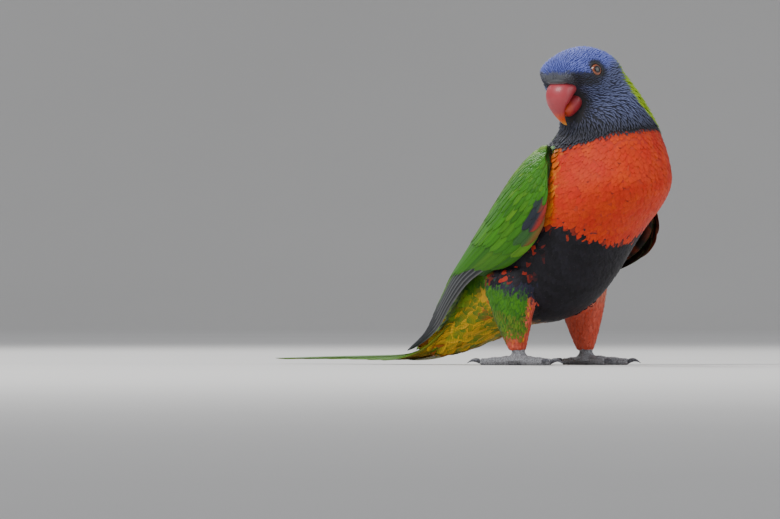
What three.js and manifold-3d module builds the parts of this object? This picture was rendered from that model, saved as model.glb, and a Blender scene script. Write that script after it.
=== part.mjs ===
// A rainbow lorikeet as a still, life-size model: a stocky parrot that stands on the floor, its trunk pitched
// up, its head turned over its right shoulder and its long tail laid along the floor behind it.
// Millimetres, +Z up. In the bird's own frame it looks towards -Y, its left side is +X, and the point on the
// floor between its feet is zero. The exported group is moved so that its box stands on the origin.
import * as THREE from "three";
import { mergeVertices } from "three/addons/utils/BufferGeometryUtils.js";
import Module from "manifold-3d";

const wasm = await Module();
wasm.setup();

// Driving dimensions
const GAP = 0.3; // between neighbouring pieces
const CORNER = 3e-3; // corners closer than this are one
const FLAT = 1e-3; // triangles lower than this are slivers
const PLUG = 0.4; // radius of the balls that fill pinched places
const BOX_CENTRE = [3, 56]; // of the whole bird, in the bird's own frame
const DEG = Math.PI / 180;

// Neck and trunk, from under the skull to the root of the tail. Each station joins a point of the back to one
// of the breast, both as [y, z], with half the width there.
const TRUNK = [
  { back: [-25, 149.5], front: [-34, 148.5], half: 4.5, aside: 2.5 },
  { back: [-18, 141.5], front: [-41.5, 139.5], half: 12.5, aside: 2.5 },
  { back: [-14, 132.5], front: [-49, 129.5], half: 17.5, aside: 2.6 },
  { back: [-9.8, 123], front: [-56.2, 118.5], half: 22.2, aside: 1.8 },
  { back: [-7.5, 114.5], front: [-60.5, 108.5], half: 23.6, aside: 3.2 },
  { back: [-1, 105.5], front: [-64.5, 98], half: 27, aside: 2 },
  { back: [6, 96], front: [-66, 87.5], half: 30.2, aside: 0.6 },
  { back: [14, 86], front: [-60, 77], half: 32, aside: 0 },
  { back: [23, 75.5], front: [-49.5, 66], half: 32, aside: 0 },
  { back: [31.5, 65.5], front: [-41, 54.5], half: 30.5, aside: 0 },
  { back: [39.5, 56], front: [-32.5, 42], half: 28, aside: 0 },
  { back: [46.5, 47.5], front: [-20, 29.5], half: 25, aside: 0 },
  { back: [53, 39.5], front: [-3, 21.5], half: 21, aside: 0 },
  { back: [59.5, 31.5], front: [17, 18.8], half: 16.5, aside: 0 },
  { back: [66.5, 23.5], front: [36, 12.6], half: 13, aside: 0 },
  { back: [74, 15.5], front: [53, 7.4], half: 10.5, aside: 0 },
  { back: [82, 9], front: [68, 4], half: 8, aside: 0 },
];
const TRUNK_RINGS = 30;
const TRUNK_SIDES = 24;
const TRUNK_SQUARE = 2.15; // exponent of the sections, 2 is an ellipse

// Head, in its own frame: x towards the bill, y to its left, z up
const HEAD = { at: [-9.9, -25.1, 136.3], turn: 180, pitch: 12, roll: 0 };
const SKULL = [
  { x: -24.5, top: 1.5, bottom: -6, half: 3.5 },
  { x: -22.5, top: 7.5, bottom: -11, half: 9 },
  { x: -18, top: 12.6, bottom: -14.5, half: 14.4 },
  { x: -12, top: 16.2, bottom: -16.5, half: 17 },
  { x: -5, top: 18.3, bottom: -17, half: 17.8 },
  { x: 2, top: 18.5, bottom: -16, half: 17.8 },
  { x: 7.6, top: 17.9, bottom: -12.3, half: 16.4 },
  { x: 11.2, top: 16.8, bottom: -5, half: 15 },
  { x: 14.4, top: 15.3, bottom: 1.3, half: 12.9 },
  { x: 17.8, top: 12.5, bottom: 3.2, half: 9.6 },
  { x: 19.6, top: 9.4, bottom: 4.8, half: 6 },
];
const SKULL_SIDES = 22;
const SKULL_RINGS = 14;
const EYE = { at: [3.9, 12.3, 7.1], radius: 4.1 };
const LID = { ring: 3.4, tube: 0.7, out: 2.6, turn: 14, lean: 20 }; // round the axis of the eye

// Bill, in the head's frame: the culmen and the cutting edge as [x, z], then the lower mandible
const CULMEN = [
  [12, 3.6], [17.4, 4.2], [20.9, 1.9], [22.4, -2.4],
  [21.7, -6.8], [20, -11.4], [17.6, -15], [15, -17.2],
];
const TOMIUM = [
  [4, 0.6], [9, -0.7], [13.3, -3.2], [16.2, -5.9],
  [18.4, -7.8], [18.1, -10.8], [16.6, -14], [14.6, -17],
];
const BILL_HALF = [7.4, 7.6, 7.2, 6.3, 4.9, 3.2, 1.8, 0.6];
const BILL_FLAT = 0.42; // how far up the upper mandible its widest line lies
const LOWER_TOP = [[3, -0.4], [8, -1.5], [12.2, -3.8], [15, -6.4], [16.7, -9.2]];
const LOWER_KEEL = [[2, -8.6], [6, -11.6], [10, -13.3], [13.6, -13.2], [16.1, -11]];
const LOWER_HALF = [7, 7.5, 6.8, 4.9, 2];
const LOWER_FLAT = 0.3;
const CERE = { at: [15.9, 0, 5.2], size: [3.6, 6.2, 1.9] };
const NOSTRIL = { at: [17.9, 3.1, 6.4], radius: 0.9 };

// Planes that part the head from the neck, the neck from the trunk and the tail from the trunk
const HEAD_CUT = { at: [0, -28, 125.5], tilt: 8 };
const NECK_CUT = { at: [0, -34, 110.5], tilt: -9 };
const TAIL_CUT = { at: [0, 60, 24], tilt: -128 }; // faces down the tail

// Folded wing: its upper and lower edges as [y, z], and how far out it lies at its upper edge, middle and
// lower edge, all from the shoulder to the tip
const WING_UPPER = [
  [-17, 107], [-4, 105], [9, 97], [21, 85.5], [33, 71.5],
  [44, 58], [54, 45], [64, 31], [75, 18], [87, 8],
];
const WING_LOWER = [
  [-22, 97], [-23.5, 85], [-21.5, 73], [-15, 62], [-4, 53],
  [10, 46.5], [26, 40], [43, 29.5], [61, 16], [84, 6],
];
const WING_OUT_UPPER = [19, 16.5, 14, 12, 10.5, 9.2, 8.2, 7.4, 6.6, 6];
const WING_OUT_MIDDLE = [29, 33.5, 36, 36.5, 35.5, 32.5, 28, 21.5, 14, 8.5];
const WING_OUT_LOWER = [29, 33, 35, 35, 33.5, 30.5, 26, 20, 13.5, 8.5];
const WING_CLEAR = 2.4; // least height of the wing's outer face over the trunk
const WING_CORE = { from: 0.01, to: 0.6, along: 13, across: 6, thick: 3.4, rim: 1 };
// The left wing hangs a little loose: its lower edge reaches further down the breast and stands off
const WINGS = { left: { side: 1, droop: 12, flare: 7 }, right: { side: -1, droop: 1, flare: 0.4 } };
// Tiers of vanes, from the shoulder out. Of each: how many, its first and last vane's root and tip along the
// wing (u) and where both lie across it (v, 0 at the upper edge), then its vanes
const TIERS = [
  { count: 5, root: [0.04, 0.02], tip: [0.25, 0.24], across: [0.14, 0.86], vane: 0 },
  { count: 5, root: [0.14, 0.14], tip: [0.43, 0.38], across: [0.11, 0.88], vane: 1 },
  { count: 6, root: [0.3, 0.3], tip: [0.71, 0.57], across: [0.12, 0.88], vane: 2 },
];
const PRIMARIES = { count: 7, root: 0.45, tip: [1, 0.72], from: [0.8, 0.2], to: [0.52, 0.2], vane: 3 };
// Vanes of the tiers and of the primaries: half width, thickness, and height over the core at both ends
const WING_VANES = [
  { half: 5.4, thick: 1.6, rise: [0.5, 1.7] },
  { half: 5.4, thick: 1.5, rise: [0.2, 1.35] },
  { half: 4.7, thick: 1.3, rise: [-0.2, 0.85] },
  { half: 4.1, thick: 1.2, rise: [-0.65, 0.02] },
];
const SHINGLE = 0.43; // how far a vane's lower edge stands over its upper edge

// Tail, from its root to its tip as [y, z], then its six pairs of feathers, the middle pair on top
const TAIL_LINE = [
  [48, 29], [58, 19.5], [68, 11.5], [79, 6], [91, 3.6],
  [106, 2.9], [126, 2.5], [152, 1.9], [178, 1.2],
];
const RECTRICES = { pairs: 6, shorter: 0.082, half: 6.2, spread: 1.75, thick: 1.1, top: 1.1, step: 0.52 };

// Legs: the feathered shank from the knee to the ankle, then the foot
const LEGS = { left: { side: 1, foot: [21.5, -3.5, 0] }, right: { side: -1, foot: [-21.5, 4, 0] } };
const SHANK = [
  { z: 46.6, y: 4, x: -0.5, deep: 17.8, wide: 9.2 },
  { z: 38, y: 4, x: 1.2, deep: 15.3, wide: 9.4 },
  { z: 30, y: 3.4, x: 1.3, deep: 13.1, wide: 8.9 },
  { z: 22, y: 2.7, x: 0.9, deep: 10.9, wide: 7.6 },
  { z: 15, y: 1.8, x: 0.6, deep: 8.4, wide: 6.1 },
  { z: 10.4, y: 1.2, x: 0.3, deep: 6.5, wide: 5 },
  { z: 6.6, y: 0.8, x: 0, deep: 4.9, wide: 4.2 },
];
const TARSUS = [
  { z: 6.3, y: 0.6, half: 3.3 },
  { z: 4.6, y: 0.2, half: 3.3 },
  { z: 2.8, y: -0.2, half: 3.8 },
];
// Toes: heading from straight ahead towards the outside, length, half thickness at root and tip
const TOES = [
  { name: "inner_front", heading: -17, length: 17, root: 2.9, tip: 1.8 },
  { name: "outer_front", heading: 18, length: 22, root: 3, tip: 1.8 },
  { name: "inner_back", heading: -158, length: 12, root: 2.6, tip: 1.7 },
  { name: "outer_back", heading: 150, length: 19, root: 2.9, tip: 1.8 },
];
const TOE_ROOT_Z = 2.5;
const TOE_TIP_Z = 1.6;
const FOOT_PAD = { z: 2.4, size: [4.6, 5, 3.4] };
const CLAW = { length: 6.2, half: 1.15, drop: 1.2, rise: 0.9 };

const MATERIALS = {
  blue: { color: 0x3a4a9c, roughness: 0.75 },
  green: { color: 0x3f8f24, roughness: 0.7 },
  orange: { color: 0xd8452a, roughness: 0.8 },
  bill: { color: 0xc23a3e, roughness: 0.35 },
  cere: { color: 0x4a4c55, roughness: 0.7 },
  eye: { color: 0xd8682c, roughness: 0.1 },
  foot: { color: 0x8a8c92, roughness: 0.85 },
  claw: { color: 0x55555c, roughness: 0.5 },
  tail: { color: 0x6f9a22, roughness: 0.65 },
};

// Small helpers

const mix = (a, b, t) => a + (b - a) * t;
const v3 = (x = 0, y = 0, z = 0) => new THREE.Vector3(x, y, z);

// The value at t, 0 to 1, of a smooth curve through the numbers in a list.
function along(list, t) {
  const s = Math.min(Math.max(t, 0), 1) * (list.length - 1);
  const i = Math.min(Math.floor(s), list.length - 2);
  const p = (k) => list[Math.min(Math.max(k, 0), list.length - 1)];
  const u = s - i;
  const [a, b, c, d] = [p(i - 1), p(i), p(i + 1), p(i + 2)];
  return b + 0.5 * u * (c - a + u * (2 * a - 5 * b + 4 * c - d + u * (3 * (b - c) + d - a)));
}

const pairAlong = (list, t) => [0, 1].map((k) => along(list.map((p) => p[k]), t));

// The values at t of some keys of a list's rows.
const keysAlong = (rows, keys, t) => keys.map((key) => along(rows.map((row) => row[key]), t));

// A closed solid from a BufferGeometry, moved by a matrix.
function solid(geometry, matrix = new THREE.Matrix4()) {
  const g = (geometry.index ? geometry.toNonIndexed() : geometry.clone()).applyMatrix4(matrix);
  g.deleteAttribute("normal");
  g.deleteAttribute("uv");
  const m = mergeVertices(g, CORNER);
  const vertProperties = m.attributes.position.array;
  const triVerts = new Uint32Array(m.index.array);
  return new wasm.Manifold(new wasm.Mesh({ numProp: 3, vertProperties, triVerts }));
}

// The solid between rings of points, each a closed loop with the same count, capped with fans at both ends.
function loft(rings, matrix) {
  const n = rings[0].length;
  const centre = (ring) => ring.reduce((s, p) => s.add(p), v3(0, 0, 0)).divideScalar(n);
  const points = [...rings.flat(), centre(rings[0]), centre(rings.at(-1))];
  const faces = [];
  for (let i = 0; i < rings.length - 1; i++)
    for (let k = 0; k < n; k++) {
      const [a, b] = [i * n + k, i * n + ((k + 1) % n)];
      faces.push(a, b, b + n, a, b + n, a + n);
    }
  const [first, last, start] = [rings.length * n, rings.length * n + 1, (rings.length - 1) * n];
  for (let k = 0; k < n; k++) {
    faces.push(first, (k + 1) % n, k);
    faces.push(last, start + k, start + ((k + 1) % n));
  }
  return closed(points, faces, matrix);
}

// A closed solid from points and faces, turned so that its faces point out.
function closed(points, faces, matrix) {
  const g = new THREE.BufferGeometry().setFromPoints(points);
  let volume = 0;
  for (let i = 0; i < faces.length; i += 3) {
    const [a, b, c] = [0, 1, 2].map((k) => points[faces[i + k]]);
    volume += a.dot(b.clone().cross(c));
  }
  g.setIndex(volume > 0 ? faces : faces.slice().reverse());
  return solid(g, matrix);
}

const union = (list) => list.reduce((a, b) => a.add(b));

// A solid's largest closed surface.
function largest(made) {
  return made.decompose().reduce((a, b) => (b.volume() > a.volume() ? b : a));
}

// Everything on one side of a plane, as a big box: above if up is 1, below if up is -1.
function halfSpace(cut, up, lift = 0) {
  const SIZE = 500;
  const turn = new THREE.Matrix4().makeRotationX(cut.tilt * DEG);
  const box = new THREE.BoxGeometry(SIZE, SIZE, SIZE).translate(0, 0, (up * SIZE) / 2 + lift);
  return solid(box.applyMatrix4(turn).translate(...cut.at));
}

const FLOOR = { at: [0, 0, 0], tilt: 0 };

// Neck and trunk

function trunkStation(t, grow = 0) {
  const back = pairAlong(TRUNK.map((s) => s.back), t);
  const front = pairAlong(TRUNK.map((s) => s.front), t);
  const half = along(TRUNK.map((s) => s.half), t) + grow;
  const centre = [0, 1].map((k) => (back[k] + front[k]) / 2);
  const deep = Math.hypot(front[0] - back[0], front[1] - back[1]) / 2;
  const across = [0, 1].map((k) => (front[k] - back[k]) / 2 / deep);
  const aside = along(TRUNK.map((s) => s.aside), t);
  return { centre, across, half, aside, deep: deep + grow };
}

function trunkRing(t, grow) {
  const { centre, across, half, aside, deep } = trunkStation(t, grow);
  return Array.from({ length: TRUNK_SIDES }, (_, k) => {
    const a = (2 * Math.PI * k) / TRUNK_SIDES;
    const bend = (x) => Math.sign(x) * Math.abs(x) ** (2 / TRUNK_SQUARE);
    const q = bend(Math.cos(a)) * deep;
    return v3(aside + bend(Math.sin(a)) * half, centre[0] + across[0] * q, centre[1] + across[1] * q);
  });
}

function trunk(grow = 0) {
  return loft(Array.from({ length: TRUNK_RINGS + 1 }, (_, i) => trunkRing(i / TRUNK_RINGS, grow)));
}

// How far out the trunk's side lies at a point [y, z] of its side view, or 0 past its outline.
function trunkSide(y, z) {
  let [low, high] = [0, 1];
  const side = (t) => {
    const { centre, across } = trunkStation(t);
    return (y - centre[0]) * across[1] - (z - centre[1]) * across[0];
  };
  const from = Math.sign(side(0));
  if (from === Math.sign(side(1))) return 0;
  for (let i = 0; i < 20; i++) {
    const t = (low + high) / 2;
    if (Math.sign(side(t)) === from) low = t;
    else high = t;
  }
  const { centre, across, half, deep } = trunkStation(low);
  const q = Math.abs((y - centre[0]) * across[0] + (z - centre[1]) * across[1]) / deep;
  return q >= 1 ? 0 : half * (1 - q ** TRUNK_SQUARE) ** (1 / TRUNK_SQUARE);
}

// Head, bill and eyes

const headMatrix = new THREE.Matrix4()
  .makeTranslation(...HEAD.at)
  .multiply(new THREE.Matrix4().makeRotationZ(HEAD.turn * DEG))
  .multiply(new THREE.Matrix4().makeRotationY(HEAD.pitch * DEG))
  .multiply(new THREE.Matrix4().makeRotationX(HEAD.roll * DEG));

function skull() {
  const rings = [];
  for (let i = 0; i <= SKULL_RINGS; i++) {
    const t = (1 - Math.cos((Math.PI * i) / SKULL_RINGS)) / 2;
    const [x, top, bottom, half] = keysAlong(SKULL, ["x", "top", "bottom", "half"], t);
    rings.push(
      Array.from({ length: SKULL_SIDES }, (_, k) => {
        const a = (2 * Math.PI * k) / SKULL_SIDES;
        return v3(x, half * Math.sin(a), mix(bottom, top, (1 + Math.cos(a)) / 2));
      }),
    );
  }
  return loft(rings, headMatrix);
}

const sphere = (radius, at, matrix, scale = [1, 1, 1], detail = 16) =>
  solid(new THREE.SphereGeometry(radius, detail, detail / 2).scale(...scale).translate(...at), matrix);

const eyeAt = (side) => [EYE.at[0], side * EYE.at[1], EYE.at[2]];

function lid(side) {
  const ring = new THREE.TorusGeometry(LID.ring, LID.tube, 6, 16).rotateX(Math.PI / 2);
  ring.translate(0, side * LID.out, 0).rotateZ(-side * LID.turn * DEG).rotateX(side * LID.lean * DEG);
  return solid(ring.translate(...eyeAt(side)), headMatrix);
}

// The upper or lower mandible, lofted between two lines of the side view.
function mandible(ridge, edge, halves, rings, flat, grow = 0) {
  const SIDES = 14;
  const made = [];
  for (let i = 0; i <= rings; i++) {
    const t = i / rings;
    const [a, b] = [pairAlong(ridge, t), pairAlong(edge, t)];
    const half = along(halves, t) + grow;
    const length = Math.hypot(a[0] - b[0], a[1] - b[1]);
    const out = [(a[0] - b[0]) / length, (a[1] - b[1]) / length];
    made.push(
      Array.from({ length: SIDES }, (_, k) => {
        const angle = (2 * Math.PI * (k + 0.5)) / SIDES;
        const c = Math.cos(angle);
        const q = c > 0 ? c * (1 - flat) + flat : flat + c * flat;
        const s = mix(0, length, q) + Math.sign(c) * grow;
        return v3(b[0] + out[0] * s, half * Math.sin(angle), b[1] + out[1] * s);
      }),
    );
  }
  return loft(made, headMatrix);
}

const upperBill = (grow) => mandible(CULMEN, TOMIUM, BILL_HALF, 14, BILL_FLAT, grow);
const lowerBill = (grow) => mandible(LOWER_KEEL, LOWER_TOP, LOWER_HALF, 8, LOWER_FLAT, grow);
const cere = (grow = 0) => sphere(1, CERE.at, headMatrix, CERE.size.map((s) => s + grow), 16);

// Feathers

const VANE_STEPS = [0, 0.4, 0.72, 0.92, 1];
const ROUND_TIP = [0.8, 1, 0.93, 0.55, 0.18];
const LONG_TIP = [0.8, 1, 0.9, 0.5, 0.12];

// One feather: place(s, w, lift) is a point of its surface at s along it, w millimetres off its shaft.
function vane(place, half, thick, tip) {
  const CAMBER = 0.3;
  const rings = VANE_STEPS.map((s, i) => {
    const w = half * tip[i];
    const row = (lift) => [place(s, -w, lift), place(s, 0, lift + CAMBER), place(s, w, lift)];
    return [...row(0), ...row(-thick).reverse()];
  });
  return loft(rings);
}

// Wings

// A point of a wing's outer face, u along it from the shoulder, v across it from its upper edge.
function wingPoint(u, v, { side, droop, flare }, lift = 0) {
  const upper = pairAlong(WING_UPPER, u);
  const lower = pairAlong(WING_LOWER, u);
  const loose = Math.sin(Math.PI * Math.min(1, u / 0.7) ** 0.6) * Math.max(v, 0) ** 1.5;
  const y = mix(upper[0], lower[0], v) - 0.75 * droop * loose;
  const z = mix(upper[1], lower[1], v) - 0.66 * droop * loose;
  const [a, b, c] = [WING_OUT_UPPER, WING_OUT_MIDDLE, WING_OUT_LOWER].map((list) => along(list, u));
  const bow = a * (1 - v) * (1 - 2 * v) + 4 * b * v * (1 - v) + c * v * (2 * v - 1);
  const body = trunkSide(y, z);
  const out = body > 0 ? Math.max(bow, body + WING_CLEAR) : bow;
  return v3(side * (out + flare * loose + lift), y, z);
}

function wingCore(wing) {
  const { from, to, along: steps, across, thick, rim } = WING_CORE;
  const rings = [];
  for (let i = 0; i <= steps; i++) {
    const u = mix(from, to, i / steps);
    const depth = thick * (1 - 0.55 * (i / steps));
    const row = (inner) =>
      Array.from({ length: across + 1 }, (_, k) => {
        const v = mix(0.02, 0.97, k / across);
        const share = Math.min(1, rim / depth + (2.6 * Math.min(k, across - k)) / across);
        return wingPoint(u, v, wing, inner ? -depth * share : 0);
      });
    rings.push([...row(false), ...row(true).reverse()]);
  }
  return loft(rings);
}

// How wide the wing is at u, in millimetres, and wider near the shoulder, where vanes keep within its edges.
function wingChord(u) {
  const [a, b] = [pairAlong(WING_UPPER, u), pairAlong(WING_LOWER, u)];
  return Math.max(Math.hypot(a[0] - b[0], a[1] - b[1]), 34 - 60 * u);
}

// A wing feather from [u, v] at its root to [u, v] at its tip.
function wingVane(wing, root, tip, { half, thick, rise }, shape) {
  const place = (s, w, lift) => {
    const u = mix(root[0], tip[0], s);
    const v = mix(root[1], tip[1], s) + w / wingChord(u);
    return wingPoint(u, v, wing, mix(rise[0], rise[1], s) + lift + (SHINGLE * w) / half);
  };
  return vane(place, half, thick, shape);
}

function wingVanes(wing) {
  const made = [];
  for (const tier of TIERS)
    for (let k = 0; k < tier.count; k++) {
      const t = k / (tier.count - 1);
      const v = mix(...tier.across, t);
      const [root, tip] = [[mix(...tier.root, t), v], [mix(...tier.tip, t), v]];
      made.push(wingVane(wing, root, tip, WING_VANES[tier.vane], ROUND_TIP));
    }
  for (let k = 0; k < PRIMARIES.count; k++) {
    const t = k / (PRIMARIES.count - 1);
    const root = [PRIMARIES.root, mix(...PRIMARIES.from, t)];
    const tip = [mix(...PRIMARIES.tip, t), mix(...PRIMARIES.to, t)];
    made.push(wingVane(wing, root, tip, WING_VANES[PRIMARIES.vane], LONG_TIP));
  }
  return made;
}

// Tail

// A point over the tail's middle line, s along it, x to the left, lift millimetres above it.
function tailPoint(s, x, lift) {
  const [y, z] = pairAlong(TAIL_LINE, s);
  const ahead = pairAlong(TAIL_LINE, Math.min(s + 0.01, 1));
  const behind = pairAlong(TAIL_LINE, Math.max(s - 0.01, 0));
  const length = Math.hypot(ahead[0] - behind[0], ahead[1] - behind[1]);
  const [ty, tz] = [(ahead[0] - behind[0]) / length, (ahead[1] - behind[1]) / length];
  return v3(x, y - tz * lift, z + ty * lift);
}

function tailVanes() {
  const { pairs, shorter, half, spread, thick, top, step } = RECTRICES;
  const made = [];
  for (let k = 0; k < pairs; k++)
    for (const side of [-1, 1]) {
      const reach = 1 - shorter * k;
      const place = (s, w, lift) => {
        const x = side * spread * (k + 0.6) * (0.75 + 0.35 * s);
        const height = top - step * k * (1 - 0.35 * s * reach) - (0.25 * side * w) / half;
        return tailPoint(s * reach, x + w, height + lift + (side < 0 && k === 0 ? 0.25 : 0));
      };
      made.push(vane(place, half * (1 - 0.03 * k), thick, LONG_TIP));
    }
  return made;
}

// Legs and feet

function shank({ side, foot }, grow = 0) {
  const SIDES = 16;
  const rings = [];
  for (let i = 0; i <= 12; i++) {
    const t = i / 12;
    const [z, y, x, deep, wide] = keysAlong(SHANK, ["z", "y", "x", "deep", "wide"], t);
    rings.push(
      Array.from({ length: SIDES }, (_, k) => {
        const a = (2 * Math.PI * k) / SIDES;
        const [reachX, reachY] = [(wide + grow) * Math.cos(a), (deep + grow) * Math.sin(a)];
        return v3(foot[0] + side * x + reachX, foot[1] + y + reachY, z);
      }),
    );
  }
  return loft(rings);
}

function ring(centre, direction, half, sides, squash = 1) {
  const up = v3(0, 0, 1);
  const across = direction.clone().cross(up).normalize();
  const over = across.clone().cross(direction).normalize();
  return Array.from({ length: sides }, (_, k) => {
    const a = (2 * Math.PI * k) / sides;
    return centre
      .clone()
      .addScaledVector(across, half * Math.cos(a))
      .addScaledVector(over, half * squash * Math.sin(a));
  });
}

const toeDirection = (toe, side) => v3(side * Math.sin(toe.heading * DEG), -Math.cos(toe.heading * DEG), 0);

function toeSolid(toe, side, foot) {
  const direction = toeDirection(toe, side);
  const STEPS = 6;
  const rings = [];
  for (let i = 0; i <= STEPS; i++) {
    const s = i / STEPS;
    const pad = 1 + 0.1 * Math.cos(s * 6 * Math.PI);
    const half = mix(toe.root, toe.tip, s) * pad;
    const centre = v3(...foot).addScaledVector(direction, s * toe.length);
    centre.z = mix(TOE_ROOT_Z, TOE_TIP_Z, s);
    rings.push(ring(centre, direction, half, 8));
  }
  return loft(rings);
}

function claw(toe, side, foot) {
  const direction = toeDirection(toe, side);
  const rings = [];
  for (let i = 0; i <= 5; i++) {
    const s = i / 5;
    const reach = toe.length + GAP + CLAW.length * s;
    const centre = v3(...foot).addScaledVector(direction, reach);
    centre.z = 1.9 + CLAW.rise * Math.sin(s * Math.PI * 0.9) - CLAW.drop * s * s;
    rings.push(ring(centre, direction, CLAW.half * (1 - 0.86 * s), 6, 1.15));
  }
  return loft(rings);
}

function footSolid({ side, foot }) {
  const rings = TARSUS.map((s) =>
    Array.from({ length: 10 }, (_, k) => {
      const a = (2 * Math.PI * k) / 10;
      return v3(foot[0] + s.half * Math.cos(a), foot[1] + s.y + s.half * 1.1 * Math.sin(a), s.z);
    }),
  );
  const pad = sphere(1, [foot[0], foot[1], FOOT_PAD.z], undefined, FOOT_PAD.size, 12);
  const whole = union([loft(rings), pad, ...TOES.map((toe) => toeSolid(toe, side, foot))]);
  return whole.intersect(halfSpace(FLOOR, 1));
}

// The pieces

const pieces = [];

// A solid's surface as a BufferGeometry.
function surface(made) {
  const mesh = made.getMesh();
  const g = new THREE.BufferGeometry();
  g.setAttribute("position", new THREE.BufferAttribute(new Float32Array(mesh.vertProperties), 3));
  g.setIndex(new THREE.BufferAttribute(new Uint32Array(mesh.triVerts), 1));
  return g;
}

const meshPoint = (g, i) => v3().fromBufferAttribute(g.attributes.position, i);

// The corner of a triangle that faces its longest edge, and its height over that edge.
function farCorner(points) {
  const edge = (k) => points[(k + 2) % 3].clone().sub(points[(k + 1) % 3]);
  const k = [0, 1, 2].reduce((best, i) => (edge(i).length() > edge(best).length() ? i : best));
  const height = edge(0).cross(edge(1)).length() / edge(k).length();
  return { k, height };
}

// Turns the longest edge of each triangle flatter than FLAT, until none is left that can be turned.
function turnSlivers(g) {
  const points = Array.from({ length: g.attributes.position.count }, (_, i) => meshPoint(g, i));
  const corners = g.index.array;
  const count = corners.length / 3;
  const faces = Array.from({ length: count }, (_, t) => [0, 1, 2].map((k) => corners[3 * t + k]));
  let turned = true;
  for (let pass = 0; pass < 12 && turned; pass++) {
    turned = false;
    const edges = new Map();
    faces.forEach((f, t) => f.forEach((a, k) => edges.set(a + " " + f[(k + 1) % 3], t)));
    const done = new Set();
    faces.forEach((f, t) => {
      const { k, height } = farCorner(f.map((i) => points[i]));
      if (height > FLAT || done.has(t)) return;
      const [c, a, b] = [0, 1, 2].map((j) => f[(k + j) % 3]);
      const next = edges.get(b + " " + a);
      const d = faces[next]?.find((i) => i !== a && i !== b);
      if (d === undefined || done.has(next) || edges.has(c + " " + d) || edges.has(d + " " + c)) return;
      faces[t] = [a, d, c];
      faces[next] = [d, b, c];
      for (const i of [t, next]) done.add(i);
      turned = true;
    });
  }
  g.setIndex(faces.flat());
  return g;
}

// The middles of the edges along which a surface touches itself.
function pinches(made) {
  const g = mergeVertices(surface(made), CORNER);
  const edges = new Map();
  for (let i = 0; i < g.index.count; i++) {
    const next = i % 3 === 2 ? i - 2 : i + 1;
    const [a, b] = [g.index.array[i], g.index.array[next]].sort((p, q) => p - q);
    edges.set(a + " " + b, [...(edges.get(a + " " + b) ?? []), [a, b]]);
  }
  const shared = [...edges.values()].filter((uses) => uses.length > 2);
  return shared.map(([[a, b]]) => meshPoint(g, a).lerp(meshPoint(g, b), 0.5));
}

// A solid kept to its largest closed surface, with small balls where it would touch itself.
function sound(made) {
  let whole = largest(solid(surface(largest(made))));
  for (let at = pinches(whole); at.length > 0; at = pinches(whole)) {
    const balls = at.map((p) => sphere(PLUG, p.toArray(), undefined, [1, 1, 1], 6));
    whole = largest(solid(surface(largest(union([whole, ...balls])))));
  }
  return whole;
}

function add(name, made, material) {
  const g = turnSlivers(surface(sound(made)));
  g.computeVertexNormals();
  const shown = new THREE.Mesh(g, new THREE.MeshStandardMaterial({ metalness: 0, ...MATERIALS[material] }));
  shown.name = name;
  pieces.push(shown);
}

const sides = { left: 1, right: -1 };
const eachSide = (make) => union(Object.values(sides).map(make));
const sockets = eachSide((side) => sphere(EYE.radius + GAP, eyeAt(side), headMatrix));
const nostrils = eachSide((side) => {
  const [x, y, z] = NOSTRIL.at;
  return sphere(NOSTRIL.radius, [x, side * y, z], headMatrix, [1, 1, 1], 8);
});
const billSpace = upperBill(GAP).add(lowerBill(GAP)).add(cere(GAP));
const bird = trunk().add(skull()).add(union(tailVanes())).intersect(halfSpace(FLOOR, 1));
const legSpace = union(Object.values(LEGS).map((leg) => shank(leg, GAP)));

const head = bird.intersect(halfSpace(HEAD_CUT, 1, GAP)).add(eachSide(lid));
add("head", head.subtract(sockets).subtract(billSpace), "blue");
const neck = bird.intersect(halfSpace(HEAD_CUT, -1)).intersect(halfSpace(NECK_CUT, 1, GAP));
add("neck", neck.subtract(billSpace), "blue");
add("bill_upper", upperBill(0).subtract(cere(GAP)), "bill");
add("bill_lower", lowerBill(0).subtract(upperBill(GAP)), "bill");
add("cere", cere().subtract(nostrils), "cere");
for (const [name, side] of Object.entries(sides))
  add("eye_" + name, sphere(EYE.radius, eyeAt(side), headMatrix), "eye");
const torso = bird.intersect(halfSpace(NECK_CUT, -1)).intersect(halfSpace(TAIL_CUT, -1));
add("torso", torso.subtract(legSpace), "orange");
add("tail", bird.intersect(halfSpace(TAIL_CUT, 1, GAP)), "tail");

const bodySpace = trunk(GAP).add(legSpace);
for (const [name, wing] of Object.entries(WINGS))
  add("wing_" + name, union([wingCore(wing), ...wingVanes(wing)]).subtract(bodySpace), "green");

for (const [name, leg] of Object.entries(LEGS)) {
  const foot = footSolid(leg);
  add("thigh_" + name, shank(leg), "green");
  add("foot_" + name, foot, "foot");
  for (const toe of TOES) add("claw_" + name + "_" + toe.name, claw(toe, leg.side, leg.foot), "claw");
}

const lorikeet = new THREE.Group();
lorikeet.position.set(-BOX_CENTRE[0], -BOX_CENTRE[1], 0);
lorikeet.add(...pieces);

export default lorikeet;
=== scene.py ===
import math

import bpy
import numpy as np
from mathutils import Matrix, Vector
from mathutils.bvhtree import BVHTree
from mathutils.kdtree import KDTree


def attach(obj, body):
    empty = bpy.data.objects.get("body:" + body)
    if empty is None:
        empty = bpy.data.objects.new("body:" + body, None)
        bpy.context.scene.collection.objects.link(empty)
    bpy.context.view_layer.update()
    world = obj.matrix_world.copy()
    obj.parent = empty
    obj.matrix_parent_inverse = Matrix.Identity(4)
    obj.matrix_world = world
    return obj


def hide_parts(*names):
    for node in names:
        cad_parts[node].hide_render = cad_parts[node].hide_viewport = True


# A rainbow lorikeet that stands on the floor and looks over its right shoulder: one skin, a coat of body
# feathers on it, long feathers on the wings and tail, and the bill, eyes, feet and claws.
# Lengths are millimetres in the bird's own frame: it looks towards -Y, its left is +X, and the point on the
# floor between its feet is zero.

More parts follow.
